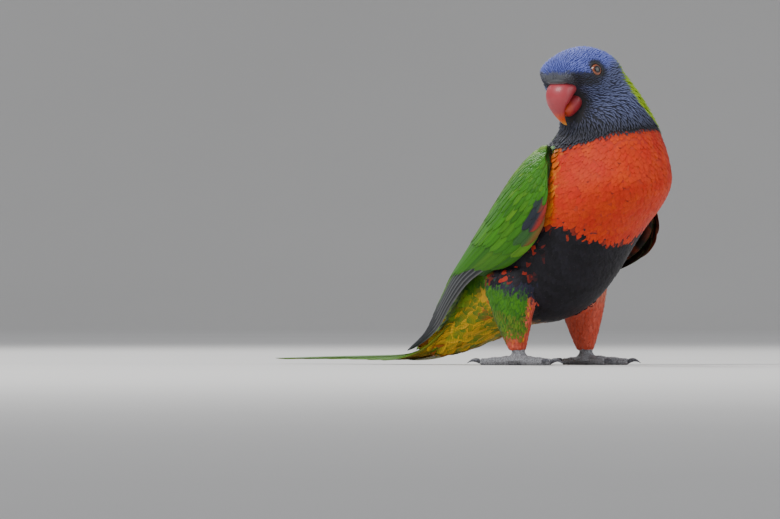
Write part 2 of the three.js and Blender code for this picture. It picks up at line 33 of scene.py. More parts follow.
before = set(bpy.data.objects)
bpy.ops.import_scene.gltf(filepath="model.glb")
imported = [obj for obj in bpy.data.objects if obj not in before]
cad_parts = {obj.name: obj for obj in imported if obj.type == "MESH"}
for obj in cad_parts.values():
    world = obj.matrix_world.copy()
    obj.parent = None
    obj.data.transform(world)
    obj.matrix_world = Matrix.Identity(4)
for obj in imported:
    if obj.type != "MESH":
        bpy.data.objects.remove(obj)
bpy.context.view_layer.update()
random = np.random.default_rng(7)

MM = 0.001
BOX_CENTRE = np.array([3.0, 56.0, 0.0])  # of the whole bird, in its own frame
BODY = "root"

# Neck and trunk, from under the skull to the root of the tail. Each row is a station: a point of the back
# and one of the breast as y, z, then half the width and how far it lies to the left.
TRUNK = np.array([
    [-25, 149.5, -34, 148.5, 4.5, 2.5],
    [-18, 141.5, -41.5, 139.5, 12.5, 2.5],
    [-14, 132.5, -49, 129.5, 17.5, 2.6],
    [-9.8, 123, -56.2, 118.5, 22.2, 1.8],
    [-7.5, 114.5, -60.5, 108.5, 23.6, 3.2],
    [-1, 105.5, -64.5, 98, 27, 2],
    [6, 96, -66, 87.5, 30.2, 0.6],
    [14, 86, -60, 77, 32, 0],
    [23, 75.5, -49.5, 66, 32, 0],
    [31.5, 65.5, -41, 54.5, 30.5, 0],
    [39.5, 56, -32.5, 42, 28, 0],
    [46.5, 47.5, -20, 29.5, 25, 0],
    [53, 39.5, -3, 21.5, 21, 0],
    [59.5, 31.5, 17, 18.8, 16.5, 0],
    [66.5, 23.5, 36, 12.6, 13, 0],
    [74, 15.5, 53, 7.4, 10.5, 0],
    [82, 9, 68, 4, 8, 0],
])
TRUNK_SQUARE = 2.15  # exponent of the sections, 2 is an ellipse

# Head, in its own frame: x towards the bill, y to its left, z up. Skull stations are x, top, bottom, half.
HEAD_AT = np.array([-9.9, -25.1, 136.3])
HEAD_TURN, HEAD_PITCH = 180, 12
SKULL = np.array([
    [-24.5, 1.5, -6, 3.5],
    [-22.5, 7.5, -11, 9],
    [-18, 12.6, -14.5, 14.4],
    [-12, 16.2, -16.5, 17],
    [-5, 18.3, -17, 17.8],
    [2, 18.5, -16, 17.8],
    [7.6, 17.9, -12.3, 16.4],
    [11.2, 16.8, -5, 15],
    [14.4, 15.3, 1.3, 12.9],
    [17.8, 12.5, 3.2, 9.6],
    [19.6, 9.4, 4.8, 6],
])
EYE_AT, EYE_RADIUS = np.array([3.9, 12.3, 7.1]), 4.1
EYE_TURNS, LID_TURNS, LID_ROUND = 96, 108, 18
LID = {"ring": 3.4, "tube": 0.62, "out": 2.62, "turn": 14, "lean": 20}  # round the axis of the eye

# Bill: culmen and cutting edge as x, z and half widths, then the lower mandible's keel and top
CULMEN = [
    [12, 3.6], [17.4, 4.2], [20.9, 1.9], [22.4, -2.4],
    [21.7, -6.8], [20, -11.4], [17.6, -15], [15, -17.2],
]
TOMIUM = [
    [4, 0.6], [9, -0.7], [13.3, -3.2], [16.2, -5.9],
    [18.4, -7.8], [18.1, -10.8], [16.6, -14], [14.6, -17],
]
BILL_HALF = [7.4, 7.6, 7.2, 6.3, 4.9, 3.2, 1.8, 0.6]
LOWER_TOP = [[3, -0.4], [8, -1.5], [12.2, -3.8], [15, -6.4], [16.7, -9.2]]
LOWER_KEEL = [[2, -8.6], [6, -11.6], [10, -13.3], [13.6, -13.2], [16.1, -11]]
LOWER_HALF = [7, 7.5, 6.8, 4.9, 2]
CERE_AT, CERE_SIZE = np.array([15.9, 0, 5.2]), np.array([3.6, 6.2, 1.9])
NOSTRIL_AT, NOSTRIL_RADIUS = np.array([17.9, 3.1, 6.4]), 0.9

# Folded wing: its upper and lower edges as y, z, and how far out it lies at its upper edge, middle and lower
# edge, from the shoulder to the tip. The left wing hangs loose.
WING_UPPER = [
    [-17, 107], [-4, 105], [9, 97], [21, 85.5], [33, 71.5],
    [44, 58], [54, 45], [64, 31], [75, 18], [87, 8],
]
WING_LOWER = [
    [-22, 97], [-23.5, 85], [-21.5, 73], [-15, 62], [-4, 53],
    [10, 46.5], [26, 40], [43, 29.5], [61, 16], [84, 6],
]
WING_OUT_UPPER = [19, 16.5, 14, 12, 10.5, 9.2, 8.2, 7.4, 6.6, 6]
WING_OUT_MIDDLE = [29, 33.5, 36, 36.5, 35.5, 32.5, 28, 21.5, 14, 8.5]
WING_OUT_LOWER = [29, 33, 35, 35, 33.5, 30.5, 26, 20, 13.5, 8.5]
WING_CLEAR = 2.4
WINGS = {"left": (1, 12, 7), "right": (-1, 1, 0.4)}  # side, droop, flare

# Tiers of wing feathers, from the shoulder out: how many, root and tip of the first and last along the wing,
# where they lie across it, half width, height over the wing at root and tip, and how drawn out the tip is.
# All but the flight tier are coverts.
TIERS = [
    (15, (-0.02, -0.01), (0.07, 0.05), (0.03, 0.98), 1.9, (0.3, 1.0), 0.6),
    (15, (0.0, 0.0), (0.10, 0.08), (0.06, 0.95), 1.9, (0.25, 0.95), 0.6),
    (15, (0.02, 0.02), (0.13, 0.115), (0.03, 0.98), 2.0, (0.2, 0.9), 0.6),
    (15, (0.05, 0.04), (0.165, 0.15), (0.05, 0.95), 2.1, (0.15, 0.85), 0.6),
    (15, (0.07, 0.06), (0.20, 0.18), (0.03, 0.97), 2.2, (0.1, 0.8), 0.6),
    (14, (0.10, 0.08), (0.24, 0.22), (0.05, 0.95), 2.4, (0.05, 0.75), 0.55),
    (14, (0.13, 0.11), (0.29, 0.26), (0.03, 0.97), 2.6, (0.0, 0.7), 0.55),
    (13, (0.17, 0.15), (0.35, 0.32), (0.05, 0.95), 2.8, (-0.1, 0.62), 0.5),
    (13, (0.21, 0.2), (0.43, 0.39), (0.03, 0.97), 2.9, (-0.2, 0.55), 0.45),
    (13, (0.27, 0.26), (0.52, 0.46), (0.05, 0.96), 2.9, (-0.35, 0.42), 0.35),
    (13, (0.32, 0.32), (0.73, 0.58), (0.06, 0.96), 3.0, (-0.5, 0.3), 0.25),
]
FLIGHT_TIER = 10
PRIMARIES = {
    "count": 10, "root": 0.45, "tip": (1.0, 0.7), "from": (0.84, 0.12), "to": (0.62, 0.1), "half": 3.4,
}

# Tail, from root to tip as y, z
TAIL_LINE = [
    [48, 29], [58, 19.5], [68, 11.5], [79, 6], [91, 3.6],
    [106, 2.9], [126, 2.5], [152, 1.9], [178, 1.2],
]
TAIL = {"pairs": 6, "shorter": 0.082, "half": 6.2, "spread": 1.75, "top": 1.1, "step": 0.52}

# Feathered shanks: z, y, x, half depth, half width, from the knee down, at each foot
FEET = {"left": (1, np.array([21.5, -3.5, 0])), "right": (-1, np.array([-21.5, 4, 0]))}
SHANK = np.array([
    [46.6, 4, -0.5, 17.8, 9.2],
    [38, 4, 1.2, 15.3, 9.4],
    [30, 3.4, 1.3, 13.1, 8.9],
    [22, 2.7, 0.9, 10.9, 7.6],
    [15, 1.8, 0.6, 8.4, 6.1],
    [10.4, 1.2, 0.3, 6.5, 5],
    [6.6, 0.8, 0, 4.9, 4.2],
])

# Toes: degrees from straight ahead towards the outside, length, and half width at the root
TOES = {
    "inner_front": (-17, 17, 2.9),
    "outer_front": (18, 22, 3),
    "inner_back": (-158, 12, 2.6),
    "outer_back": (150, 19, 2.9),
}
CLAW_LENGTH, CLAW_HALF = 6.2, 1.15

# Lower edge of the blue hood: degrees round the neck from the breast towards the left, and its height
HOOD_EDGE = [
    (0, 114.2), (40, 114.2), (100, 112), (180, 109), (220, 107.2),
    (255, 106), (290, 109.2), (320, 112.4), (360, 114.2),
]

# Body feathers: places along and across each vane, and its width along it, round or pointed
STEPS = np.array([0, 0.28, 0.55, 0.8, 1.0])
ACROSS = np.array([-1, -0.5, 0, 0.5, 1])
ROUND = np.array([0.5, 0.9, 1, 0.86, 0.42])
POINTED = np.array([0.5, 1, 0.85, 0.5, 0.08])
ROOTS_TRIED = 420000
LONG_ROWS, LONG_COLS = 18, 7  # points along and across a long feather

COAT_DEPTH = 0.7  # from the skin up to the tips of the body feathers
CAMERA_AZIMUTH = -50
CAMERA_AIM = (-79.5, 51.5)  # along the picture's width and up, at the bird's distance
CAMERA_AWAY, CAMERA_UP = 5000, 30
PICTURE_WIDTH, FOCAL = 780, 10250  # pixels

# Lights: azimuth in degrees, then height, distance and size in metres, and power in watts
LIGHTS = {"key": (-95, 1.5, 1.4, 1.0, 34), "fill": (10, 0.9, 1.8, 1.4, 12), "back": (150, 1.4, 1.5, 0.8, 20)}
SKY, SKY_STRENGTH = (0.93, 0.95, 1.0, 1), 0.55
FLOOR_SHADES = (0.66, 0.65, 0.63, 1), (0.72, 0.71, 0.69, 1)
HEAD_FROM, NECK_FROM = 122, 100  # heights where the coat is parted into pieces


def rgb(code):
    """The linear colour of a six-figure hexadecimal sRGB code."""
    c = np.array([int(code[i : i + 2], 16) for i in (0, 2, 4)]) / 255
    return np.where(c <= 0.04045, c / 12.92, ((c + 0.055) / 1.055) ** 2.4)


COLOUR = {name: rgb(code) for name, code in {
    "crown": "3a48a8", "crown_pale": "98a2e6", "cheek": "262b4c", "cheek_pale": "8c96c4",
    "lores": "26272d", "brow": "666973", "throat": "15161d", "throat_pale": "505260", "collar": "8fb00c",
    "breast": "bf250c", "breast_warm": "cf4a10", "breast_rim": "e0880e", "bar": "45161a",
    "belly": "100f14", "belly_pale": "1e1c24", "green": "3a7a0e", "green_pale": "86a424",
    "green_dark": "1c4a0a", "vent": "cc9a08", "flank": "b83014", "thigh_blue": "1c2336",
    "slate": "262b34", "grey": "2c2e32", "grey_pale": "85878a", "olive": "7c7c14", "tail_red": "a83a14",
    "lining": "1f1813", "rust": "6e2a16", "salmon": "d2604a", "down": "b8806a", "bill_red": "981c26",
    "bill_pink": "ac444c", "bill_orange": "d2501a", "bill_yellow": "e6a040", "cere": "3e4044",
    "cere_pale": "7a7074", "nostril": "060606", "iris": "6e3018", "iris_ring": "9c562a",
    "iris_inner": "5a2410", "pupil": "020202", "eye_rim": "120c0a", "lid": "232428", "foot": "4c4c50",
    "foot_dust": "8a8a8e", "claw": "24242a", "claw_pale": "55555c",
}.items()}


# Small helpers

def along(table, t):
    """Rows of a smooth curve through a table's rows, at t from 0 to 1."""
    table = np.asarray(table, float).reshape(len(table), -1)
    s = np.clip(np.asarray(t, float), 0, 1) * (len(table) - 1)
    i = np.clip(np.floor(s).astype(int), 0, len(table) - 2)
    u = (s - i)[..., None]
    a, b, c, d = (table[np.clip(i + k, 0, len(table) - 1)] for k in (-1, 0, 1, 2))
    return b + 0.5 * u * (c - a + u * (2 * a - 5 * b + 4 * c - d + u * (3 * (b - c) + d - a)))


def mix(a, b, t):
    return a + (b - a) * t


def soft(x, low, high):
    """0 below low, 1 above high and smooth between them."""
    t = np.clip((np.asarray(x, float) - low) / (high - low), 0, 1)
    return t * t * (3 - 2 * t)


def unit(v):
    return v / np.maximum(np.linalg.norm(v, axis=-1, keepdims=True), 1e-9)


def distance(p, place):
    return np.linalg.norm(p - place, axis=1)


def grid(rows, cols):
    """Every pairing of two lists of numbers, the first down and the second across."""
    return np.meshgrid(rows, cols, indexing="ij")


def angles(n):
    """Once round in n equal steps."""
    return np.linspace(0, 2 * math.pi, n, endpoint=False)


def wobble(p, scale, seed):
    """Smooth noise between about -1 and 1 at points, with waves some scale millimetres long."""
    phase = np.random.default_rng(seed).normal(size=(6, 4))
    waves = []
    for i, k in enumerate(phase):
        wave = p @ (unit(k[:3]) * 2 * math.pi / scale) * (1 + 0.3 * i)
        waves.append(np.sin(wave + 6 * k[3]))
    return sum(waves) / 3


def rotation(axis, degrees):
    c, s = math.cos(math.radians(degrees)), math.sin(math.radians(degrees))
    i, j = [(1, 2), (2, 0), (0, 1)][axis]
    m = np.eye(3)
    m[i, i], m[j, j], m[i, j], m[j, i] = c, c, -s, s
    return m


HEAD_MATRIX = rotation(2, HEAD_TURN) @ rotation(1, HEAD_PITCH)


def from_head(p):
    return np.asarray(p) @ HEAD_MATRIX.T + HEAD_AT


def to_head(p):
    return (p - HEAD_AT) @ HEAD_MATRIX


def to_left(h):
    """Points of the head's frame, with its right side brought over to the left."""
    return np.stack([h[:, 0], np.abs(h[:, 1]), h[:, 2]], 1)


def make(name, points, faces, smooth=True):
    """A mesh object from points in the bird's frame, in millimetres, and faces as rows of point numbers."""
    mesh = bpy.data.meshes.new(name)
    faces = faces if isinstance(faces, list) else faces.tolist()
    mesh.from_pydata(((points - BOX_CENTRE) * MM).tolist(), [], faces)
    mesh.polygons.foreach_set("use_smooth", np.full(len(mesh.polygons), smooth))
    mesh.update()
    obj = bpy.data.objects.new(name, mesh)
    bpy.context.scene.collection.objects.link(obj)
    return obj


def points_of(obj):
    p = np.empty(len(obj.data.vertices) * 3)
    obj.data.vertices.foreach_get("co", p)
    return p.reshape(-1, 3) / MM + BOX_CENTRE


def normals_of(obj):
    n = np.empty(len(obj.data.vertices) * 3, np.float32)
    obj.data.vertices.foreach_get("normal", n)
    return n.reshape(-1, 3).astype(float)


def paint(obj, colours, name="Coat"):
    rgba = np.ones((len(colours), 4), np.float32)
    rgba[:, :3] = np.clip(colours, 0, 1)
    layer = obj.data.color_attributes.new(name, "FLOAT_COLOR", "POINT")
    layer.data.foreach_set("color", rgba.ravel())


def lay_uv(obj, name, uv):
    """A UV map with one place for each vertex."""
    corners = np.empty(len(obj.data.loops), np.int32)
    obj.data.loops.foreach_get("vertex_index", corners)
    layer = obj.data.uv_layers.new(name=name)
    layer.data.foreach_set("uv", np.asarray(uv, np.float32)[corners].ravel())


def loft_faces(rings, n):
    """Faces between rings of n points each, closed round, with a cap at both ends."""
    i, k = grid(np.arange(rings - 1), np.arange(n))
    a, b = i * n + k, i * n + (k + 1) % n
    sides = np.stack([a, b, b + n, a + n], -1).reshape(-1, 4).tolist()
    return sides + [list(range(n))[::-1], list(range((rings - 1) * n, rings * n))]


def place(piece, slot, material, *nodes):
    """Gives a piece its body and its material and hides the nodes it stands for; the slot is not used."""
    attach(piece, BODY)
    if nodes:
        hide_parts(*nodes)
    piece.data.materials.clear()
    piece.data.materials.append(material)
    return piece


# The trunk as a surface

def trunk_station(t):
    s = along(TRUNK, t)
    back, front, half, aside = s[..., 0:2], s[..., 2:4], s[..., 4], s[..., 5]
    centre = (back + front) / 2
    deep = np.linalg.norm(front - back, axis=-1) / 2
    return centre, (front - centre) / deep[..., None], deep, half, aside


def trunk_points(t, angle):
    """Points of the trunk at t along it, with the angle from the breast towards the left."""
    centre, across, deep, half, aside = trunk_station(t)

    def bend(x):
        return np.sign(x) * np.abs(x) ** (2 / TRUNK_SQUARE)

    yz = centre + across * (bend(np.cos(angle)) * deep)[..., None]
    return np.concatenate([(aside + bend(np.sin(angle)) * half)[..., None], yz], -1)


def trunk_place(p):
    """Of points near the trunk: t along it, and its place across, from 1 at the breast to -1 at the back."""
    t = np.linspace(0, 1, 220)
    centre, across, deep, half, aside = trunk_station(t)
    offset = p[:, None, 1:3] - centre
    side = np.abs(offset[..., 0] * across[:, 1] - offset[..., 1] * across[:, 0])
    front = (offset * across).sum(-1) / deep
    best = np.argmin(side + 12 * np.maximum(np.abs(front) - 1.05, 0), axis=1)
    rows = np.arange(len(p))
    return t[best], np.clip(front[rows, best], -1.2, 1.2)


def trunk_side(y, z):
    """How far out the trunk's side lies at places of its side view, or 0 past its outline."""
    y, z = np.broadcast_arrays(np.asarray(y, float), np.asarray(z, float))

    def side(t):
        centre, across, *_ = trunk_station(t)
        return (y - centre[..., 0]) * across[..., 1] - (z - centre[..., 1]) * across[..., 0]

    low, high = np.zeros(y.shape), np.ones(y.shape)
    first = np.sign(side(low))
    inside = first != np.sign(side(high))
    for _ in range(20):
        t = (low + high) / 2
        same = np.sign(side(t)) == first
        low, high = np.where(same, t, low), np.where(same, high, t)
    centre, across, deep, half, _ = trunk_station(low)
    q = np.abs((y - centre[..., 0]) * across[..., 0] + (z - centre[..., 1]) * across[..., 1]) / deep
    bulge = half * np.maximum(1 - np.minimum(q, 1) ** TRUNK_SQUARE, 0) ** (1 / TRUNK_SQUARE)
    return np.where(inside & (q < 1), bulge, 0)


# Skin

def tube(name, rings):
    """A closed loft through rings of points."""
    return make(name, rings.reshape(-1, 3), loft_faces(*rings.shape[:2]))


def skin_pieces():
    t, a = grid(np.linspace(0, 1, 150), angles(96))
    made = [tube("trunk", trunk_points(t, a))]

    t, a = grid(np.linspace(0, math.pi, 70), angles(72))
    s = along(SKULL, (1 - np.cos(t)) / 2)
    skull = np.stack([s[..., 0], s[..., 3] * np.sin(a), mix(s[..., 2], s[..., 1], (1 + np.cos(a)) / 2)], -1)
    made.append(tube("skull", from_head(skull)))

    t, a = grid(np.linspace(0, 1, 40), angles(40))
    s = along(SHANK, t)
    for name, (side, foot) in FEET.items():
        x = foot[0] + side * s[..., 2] + s[..., 4] * np.cos(a)
        y = foot[1] + s[..., 1] + s[..., 3] * np.sin(a)
        made.append(tube("shank_" + name, np.stack([x, y, s[..., 0]], -1)))
    return made


def apply_modifier(obj, kind, **settings):
    modifier = obj.modifiers.new(kind, kind)
    for key, value in settings.items():
        setattr(modifier, key, value)
    bpy.context.view_layer.objects.active = obj
    with bpy.context.temp_override(object=obj, active_object=obj, selected_objects=[obj]):
        bpy.ops.object.modifier_apply(modifier=modifier.name)


def join(objects, name):
    target = objects[0]
    chosen = {"selected_objects": objects, "selected_editable_objects": objects}
    with bpy.context.temp_override(active_object=target, **chosen):
        bpy.ops.object.join()
    target.name = target.data.name = name
    return target


def make_skin():
    skin = join(skin_pieces(), "skin")
    apply_modifier(skin, "REMESH", mode="VOXEL", voxel_size=1.1 * MM, use_smooth_shade=True)
    apply_modifier(skin, "SMOOTH", factor=0.5, iterations=12)
    points = points_of(skin) - normals_of(skin) * COAT_DEPTH
    skin.data.vertices.foreach_set("co", ((points - BOX_CENTRE) * MM).ravel())
    skin.data.update()
    return skin


# Markings

def neck_angle(p):
    """Degrees round the neck, from the breast towards the bird's left."""
    return np.degrees(np.arctan2(p[:, 0] - 1, -(p[:, 1] + 33))) % 360


def leg_of(p):
    """How much a point belongs to a feathered shank, and its outward and forward shares round it."""
    share, outward, ahead = np.zeros(len(p)), np.zeros(len(p)), np.zeros(len(p))
    for side, foot in FEET.values():
        levels = np.interp(p[:, 2], SHANK[::-1, 0], np.linspace(1, 0, len(SHANK)))
        s = along(SHANK, levels)
        dx, dy = p[:, 0] - foot[0] - side * s[:, 2], p[:, 1] - foot[1] - s[:, 1]
        reach = np.hypot(dx / s[:, 4], dy / s[:, 3])
        here = (reach < 1.1) & (p[:, 2] < 43)
        share = np.where(here, 1.0, share)
        outward = np.where(here, side * dx / s[:, 4], outward)
        ahead = np.where(here, -dy / s[:, 3], ahead)
    return share, outward, ahead


def layer(base, over, weight):
    return mix(base, over, np.clip(weight, 0, 1)[:, None])


def before_wing(p):
    """How far points lie in front of the folded wing's front edge."""
    edge = np.array(WING_UPPER[:1] + WING_LOWER[:4])[::-1]
    return np.interp(p[:, 2], edge[:, 1], edge[:, 0]) - p[:, 1]


def breast_edge(p):
    """The height of the lower edge of the blue hood round the neck."""
    return np.interp(neck_angle(p), *np.transpose(HOOD_EDGE))


def on_back(p, q):
    """How far a point lies on the green back rather than the breast, from 0 to 1."""
    height = soft(p[:, 2], 78, 98)
    return 1 - soft(q + 0.05 * wobble(p, 5, 21), mix(-0.24, -0.5, height), mix(-0.14, -0.4, height))


def markings(p):
    """The base colour and the paler shaft colour of the coat at points."""
    h = to_head(p)
    t, q = trunk_place(p)
    ragged = wobble(p, 5, 1) * 0.8 + wobble(p, 2.2, 2) * 0.6
    ones = np.ones((len(p), 1))

    # Back and rump, then the orange breast with its yellow rim beside the wings
    base = layer(ones * COLOUR["green"], COLOUR["green_dark"], 0.5 + 0.5 * wobble(p, 9, 3))
    pale = ones * COLOUR["green_pale"]
    breast = 1 - on_back(p, q)
    orange = layer(ones * COLOUR["breast"], COLOUR["breast_warm"], 0.25 + 0.25 * wobble(p, 13, 4))
    rim = (1 - soft(before_wing(p) + 1.2 * ragged, 1.5, 7)) * soft(p[:, 2], 64, 76)
    orange = layer(orange, COLOUR["breast_rim"], rim * (0.7 + 0.4 * wobble(p, 6, 5)))
    base = layer(base, orange, breast)
    pale = layer(pale, mix(orange, COLOUR["breast_warm"], 0.6), breast)

    # Dark belly below the bib, with red patches on the flanks
    bib = 62.0 + 9 * ((p[:, 0] + 6) / 24) ** 2
    belly = soft(bib + 1.6 * ragged - p[:, 2], -0.6, 0.6) * breast * (1 - soft(t - 0.05 * q, 0.70, 0.74))
    dark = layer(ones * COLOUR["belly"], COLOUR["belly_pale"], 0.5 + 0.5 * wobble(p, 8, 6))
    patches = soft(wobble(p, 10, 7) + 0.3 * wobble(p, 3, 17), 0.45, 0.75)
    patches = patches * (1 - soft(q, 0.2, 0.45)) * soft(p[:, 2], 34, 46)
    dark = layer(dark, COLOUR["flank"], 0.8 * patches)
    base = layer(base, dark, belly)
    pale = layer(pale, mix(dark, COLOUR["belly_pale"], 0.5), belly)

    # Yellow vent and undertail, green on the middle of its feathers, with some orange
    vent = soft(t - 0.05 * q + 0.008 * ragged, 0.70, 0.74) * soft(q, -0.45, -0.2)
    under = layer(ones * COLOUR["vent"], COLOUR["tail_red"], soft(wobble(p, 9, 9), 0.35, 0.8) * 0.8)
    base = layer(base, under, vent)
    pale = layer(pale, mix(COLOUR["green"], COLOUR["green_dark"], 0.4), vent)

    # Legs: green outside, orange red inside and at the ankle, slate blue at the top of the right one
    leg, outward, ahead = leg_of(p)
    left = p[:, 0] > 0
    red = soft(0.5 * ahead - 0.85 * outward + 0.15 * ragged + 0.35 * left, 0.2, 0.42)
    red = np.maximum(red, 1 - soft(p[:, 2] + 2 * ragged, 12, 17))
    thigh = layer(ones * COLOUR["green"], COLOUR["green_dark"], 0.2 + 0.4 * wobble(p, 7, 18))
    thigh = layer(thigh, mix(COLOUR["flank"], COLOUR["salmon"], 0.6 + 0.3 * wobble(p, 5, 19)[:, None]), red)
    fringe = 0.8 * soft(wobble(p, 5, 10), 0.6, 0.8) * (1 - soft(np.abs(red - 0.5), 0.2, 0.5))
    thigh = layer(thigh, COLOUR["breast_rim"], fringe)
    thigh = layer(thigh, COLOUR["down"], 0.6 * red * left * soft(p[:, 2] + 2 * ragged, 30, 37))
    slate = soft(p[:, 2] + 1.5 * ragged + 5 * ahead, 38, 41) * (1 - left)
    thigh = layer(thigh, COLOUR["thigh_blue"], slate)
    base = layer(base, thigh, leg)
    pale = layer(pale, mix(base, COLOUR["salmon"], 0.15), leg)

    # Blue hood down to the bib, with its collar on the nape
    hood = soft(p[:, 2] - breast_edge(p) + 0.5 * ragged, -0.4, 0.4)
    height = soft(p[:, 2], 114, 131)
    blue = layer(ones * COLOUR["throat"], COLOUR["cheek"], height)
    blue_pale = layer(ones * COLOUR["throat_pale"], COLOUR["cheek_pale"], height)
    crown = soft(h[:, 2] + 0.3 * np.minimum(h[:, 0], 0) + 0.8 * ragged, 4.5, 10)
    blue = layer(blue, COLOUR["crown"], crown)
    blue_pale = layer(blue_pale, COLOUR["crown_pale"], crown)
    base = layer(base, blue, hood)
    pale = layer(pale, blue_pale, hood)

    middle = mix(128, 92, soft(p[:, 2], 110, 134))
    off = np.abs((neck_angle(p) - middle + 180) % 360 - 180)
    width = mix(44, 84, soft(p[:, 2], 103, 113))
    nape = (1 - soft(off + 3 * ragged, width - 2, width + 2)) * soft(p[:, 2], 96, 102)
    nape = nape * soft(np.linalg.norm(h, axis=1) + 0.4 * ragged, 19.6, 21.4)
    base = layer(base, mix(COLOUR["green"], COLOUR["collar"], soft(p[:, 2], 112, 122)[:, None]), nape)
    pale = layer(pale, COLOUR["collar"], nape)

    # Dark face between the eyes and round the bill
    mirrored = to_left(h)
    to_eye = distance(mirrored, EYE_AT)
    eye_ring = 1 - soft(to_eye + 0.3 * ragged, 5, 6.6)
    chin = (1 - soft(distance(h, [14, 0, -7]) + 0.8 * ragged, 10.5, 15)) * (1 - soft(h[:, 2], -2, 2))
    line = mix(7.4, 5.6, soft(h[:, 0], 19, 8))
    band = (1 - soft(np.abs(h[:, 2] - line + 1.5) + 0.5 * ragged, 2.4, 4)) * soft(h[:, 0], 4, 7)
    face = np.maximum(np.maximum(eye_ring, chin), band) * hood
    grey = mix(COLOUR["lores"], COLOUR["brow"], (1 - soft(distance(h, [17.5, 0, 5.5]), 7, 10.5))[:, None])
    base = layer(base, grey, face)
    pale = layer(pale, mix(grey, COLOUR["cheek_pale"], 0.25), face)
    return base, pale


# Coat of body feathers

def lie(p, n):
    """Which way the coat lies at points: back from the bill on the head, down the trunk and down the legs."""
    t, _ = trunk_place(p)
    ahead = trunk_station(np.minimum(t + 0.02, 1))[0]
    behind = trunk_station(np.maximum(t - 0.02, 0))[0]
    flow = unit(np.concatenate([np.zeros((len(p), 1)), ahead - behind], 1))
    bill = from_head(np.array([[17, 0, 1]]))
    from_bill = unit(p - bill)
    on_head = 1 - soft(distance(p, HEAD_AT), 17, 34)
    heading = mix(flow, from_bill, on_head[:, None])
    leg, _, _ = leg_of(p)
    heading = mix(heading, np.array([0, 0.15, -1.0]), leg[:, None])
    return unit(heading - (heading * n).sum(1, keepdims=True) * n)


def sizes(p):
    """Length, width and spacing of the body feathers at points."""
    h = to_head(p)
    t, q = trunk_place(p)
    mirrored = to_left(h)
    face = np.minimum(distance(h, [18, 0, 2]) - 8, distance(mirrored, EYE_AT) - 4)
    grown = soft(face, -1, 18)
    body = 1 - soft(p[:, 2], 106, 116)
    hem = 0.5 * (1 - soft(np.abs(p[:, 2] - breast_edge(p) - 1.5), 1.5, 4.5))
    back = soft(q, 0.2, -0.6)
    length = mix(mix(1.3, 4.2, grown), mix(6, 7.5, back), body) * (1 - hem)
    width = mix(mix(0.7, 1.35, grown), mix(3.0, 4.2, back), body)
    spacing = mix(mix(0.62, 1.12, grown), mix(1.42, 1.7, back), body)
    leg, _, _ = leg_of(p)
    length, width, spacing = mix(length, 4.4, leg), mix(width, 1.3, leg), mix(spacing, 1.05, leg)
    rear = soft(t, 0.74, 0.84) * (1 - leg)
    return mix(length, 16, rear), mix(width, 9.5, rear), mix(spacing, 4.6, rear)


def scatter(skin, count):
    """Random points all over the skin with their normals, thinned so that none is closer than its spacing."""
    mesh = skin.data
    mesh.calc_loop_triangles()
    corners = np.empty(len(mesh.loop_triangles) * 3, np.int32)
    mesh.loop_triangles.foreach_get("vertices", corners)
    corners = corners.reshape(-1, 3)
    p, n = points_of(skin), normals_of(skin)
    a, b, c = (p[corners[:, k]] for k in range(3))
    area = np.linalg.norm(np.cross(b - a, c - a), axis=1)
    chosen = random.choice(len(corners), count, p=area / area.sum())
    u, v = random.random((2, count))
    u, v = np.where(u + v > 1, 1 - u, u), np.where(u + v > 1, 1 - v, v)
    weights = np.stack([1 - u - v, u, v], 1)[..., None]
    points = (p[corners[chosen]] * weights).sum(1)
    normals = unit((n[corners[chosen]] * weights).sum(1))
    keep = thin(points, sizes(points)[2])
    return points[keep], normals[keep]


def thin(points, spacing):
    tree = KDTree(len(points))
    for i, p in enumerate(points):
        tree.insert(p, i)
    tree.balance()
    gone = np.zeros(len(points), bool)
    kept = []
    for i, p in enumerate(points):
        if gone[i]:
            continue
        kept.append(i)
        for _, j, _ in tree.find_range(p, spacing[i]):
            gone[j] = True
    return np.array(kept)


def eye_axis(side):
    """Which way an eye looks, in the head's frame."""
    turn, lean = math.radians(LID["turn"]), math.radians(LID["lean"])
    across = math.cos(turn) * math.cos(lean)
    return np.array([math.sin(turn), side * across, math.cos(turn) * math.sin(lean)])


def bare(p):
    """Where no body feather grows: on the eyes, the bill and the feet."""
    h = to_head(p)
    mirrored = to_left(h)
    axis = eye_axis(1)
    from_eye = mirrored - EYE_AT
    off = from_eye - (from_eye @ axis)[:, None] * axis
    eye = (np.linalg.norm(off, axis=1) < 3.9) & (np.abs(h[:, 1]) > 8)
    nostril = distance(mirrored, NOSTRIL_AT) < 2.1
    half = mix(8.2, 6.5, soft(h[:, 0], 12, 18))
    mouth = (h[:, 0] > 9) & (h[:, 2] < 3.2) & (h[:, 2] > -14) & (np.abs(h[:, 1]) < half)
    return eye | nostril | mouth | (p[:, 2] < 6.8)


def lay_coat(surface, p, n, heading, length, width, tip_height):
    """Shaft points and up directions of feathers that follow a surface, from sunk roots to lifted tips."""
    shaft, up = np.empty((len(p), len(STEPS), 3)), np.empty((len(p), len(STEPS), 3))
    for k, s in enumerate(STEPS):
        for i, q in enumerate(p + heading * (length * s)[:, None]):
            place, normal, _, _ = surface.find_nearest(Vector(q))
            shaft[i, k], up[i, k] = place, normal
        shaft[:, k] += up[:, k] * mix(-0.35, tip_height, s)[:, None]
    return shaft, up


def vane_points(shaft, up, width, profile, camber):
    """Five points across each step of each vane."""
    tangent = unit(np.gradient(shaft, axis=1))
    across = unit(np.cross(tangent, up))
    w = ACROSS
    half = (width[:, None] / 2 * profile)[..., None, None]
    back = (w**2 * 0.16)[:, None] * (width[:, None, None, None] * (STEPS**2)[None, :, None, None])
    dome = (1 - w**2)[:, None] * camber[:, None, None, None]
    return (
        shaft[:, :, None]
        + across[:, :, None] * half * w[:, None]
        + up[:, :, None] * dome
        - tangent[:, :, None] * back
    )


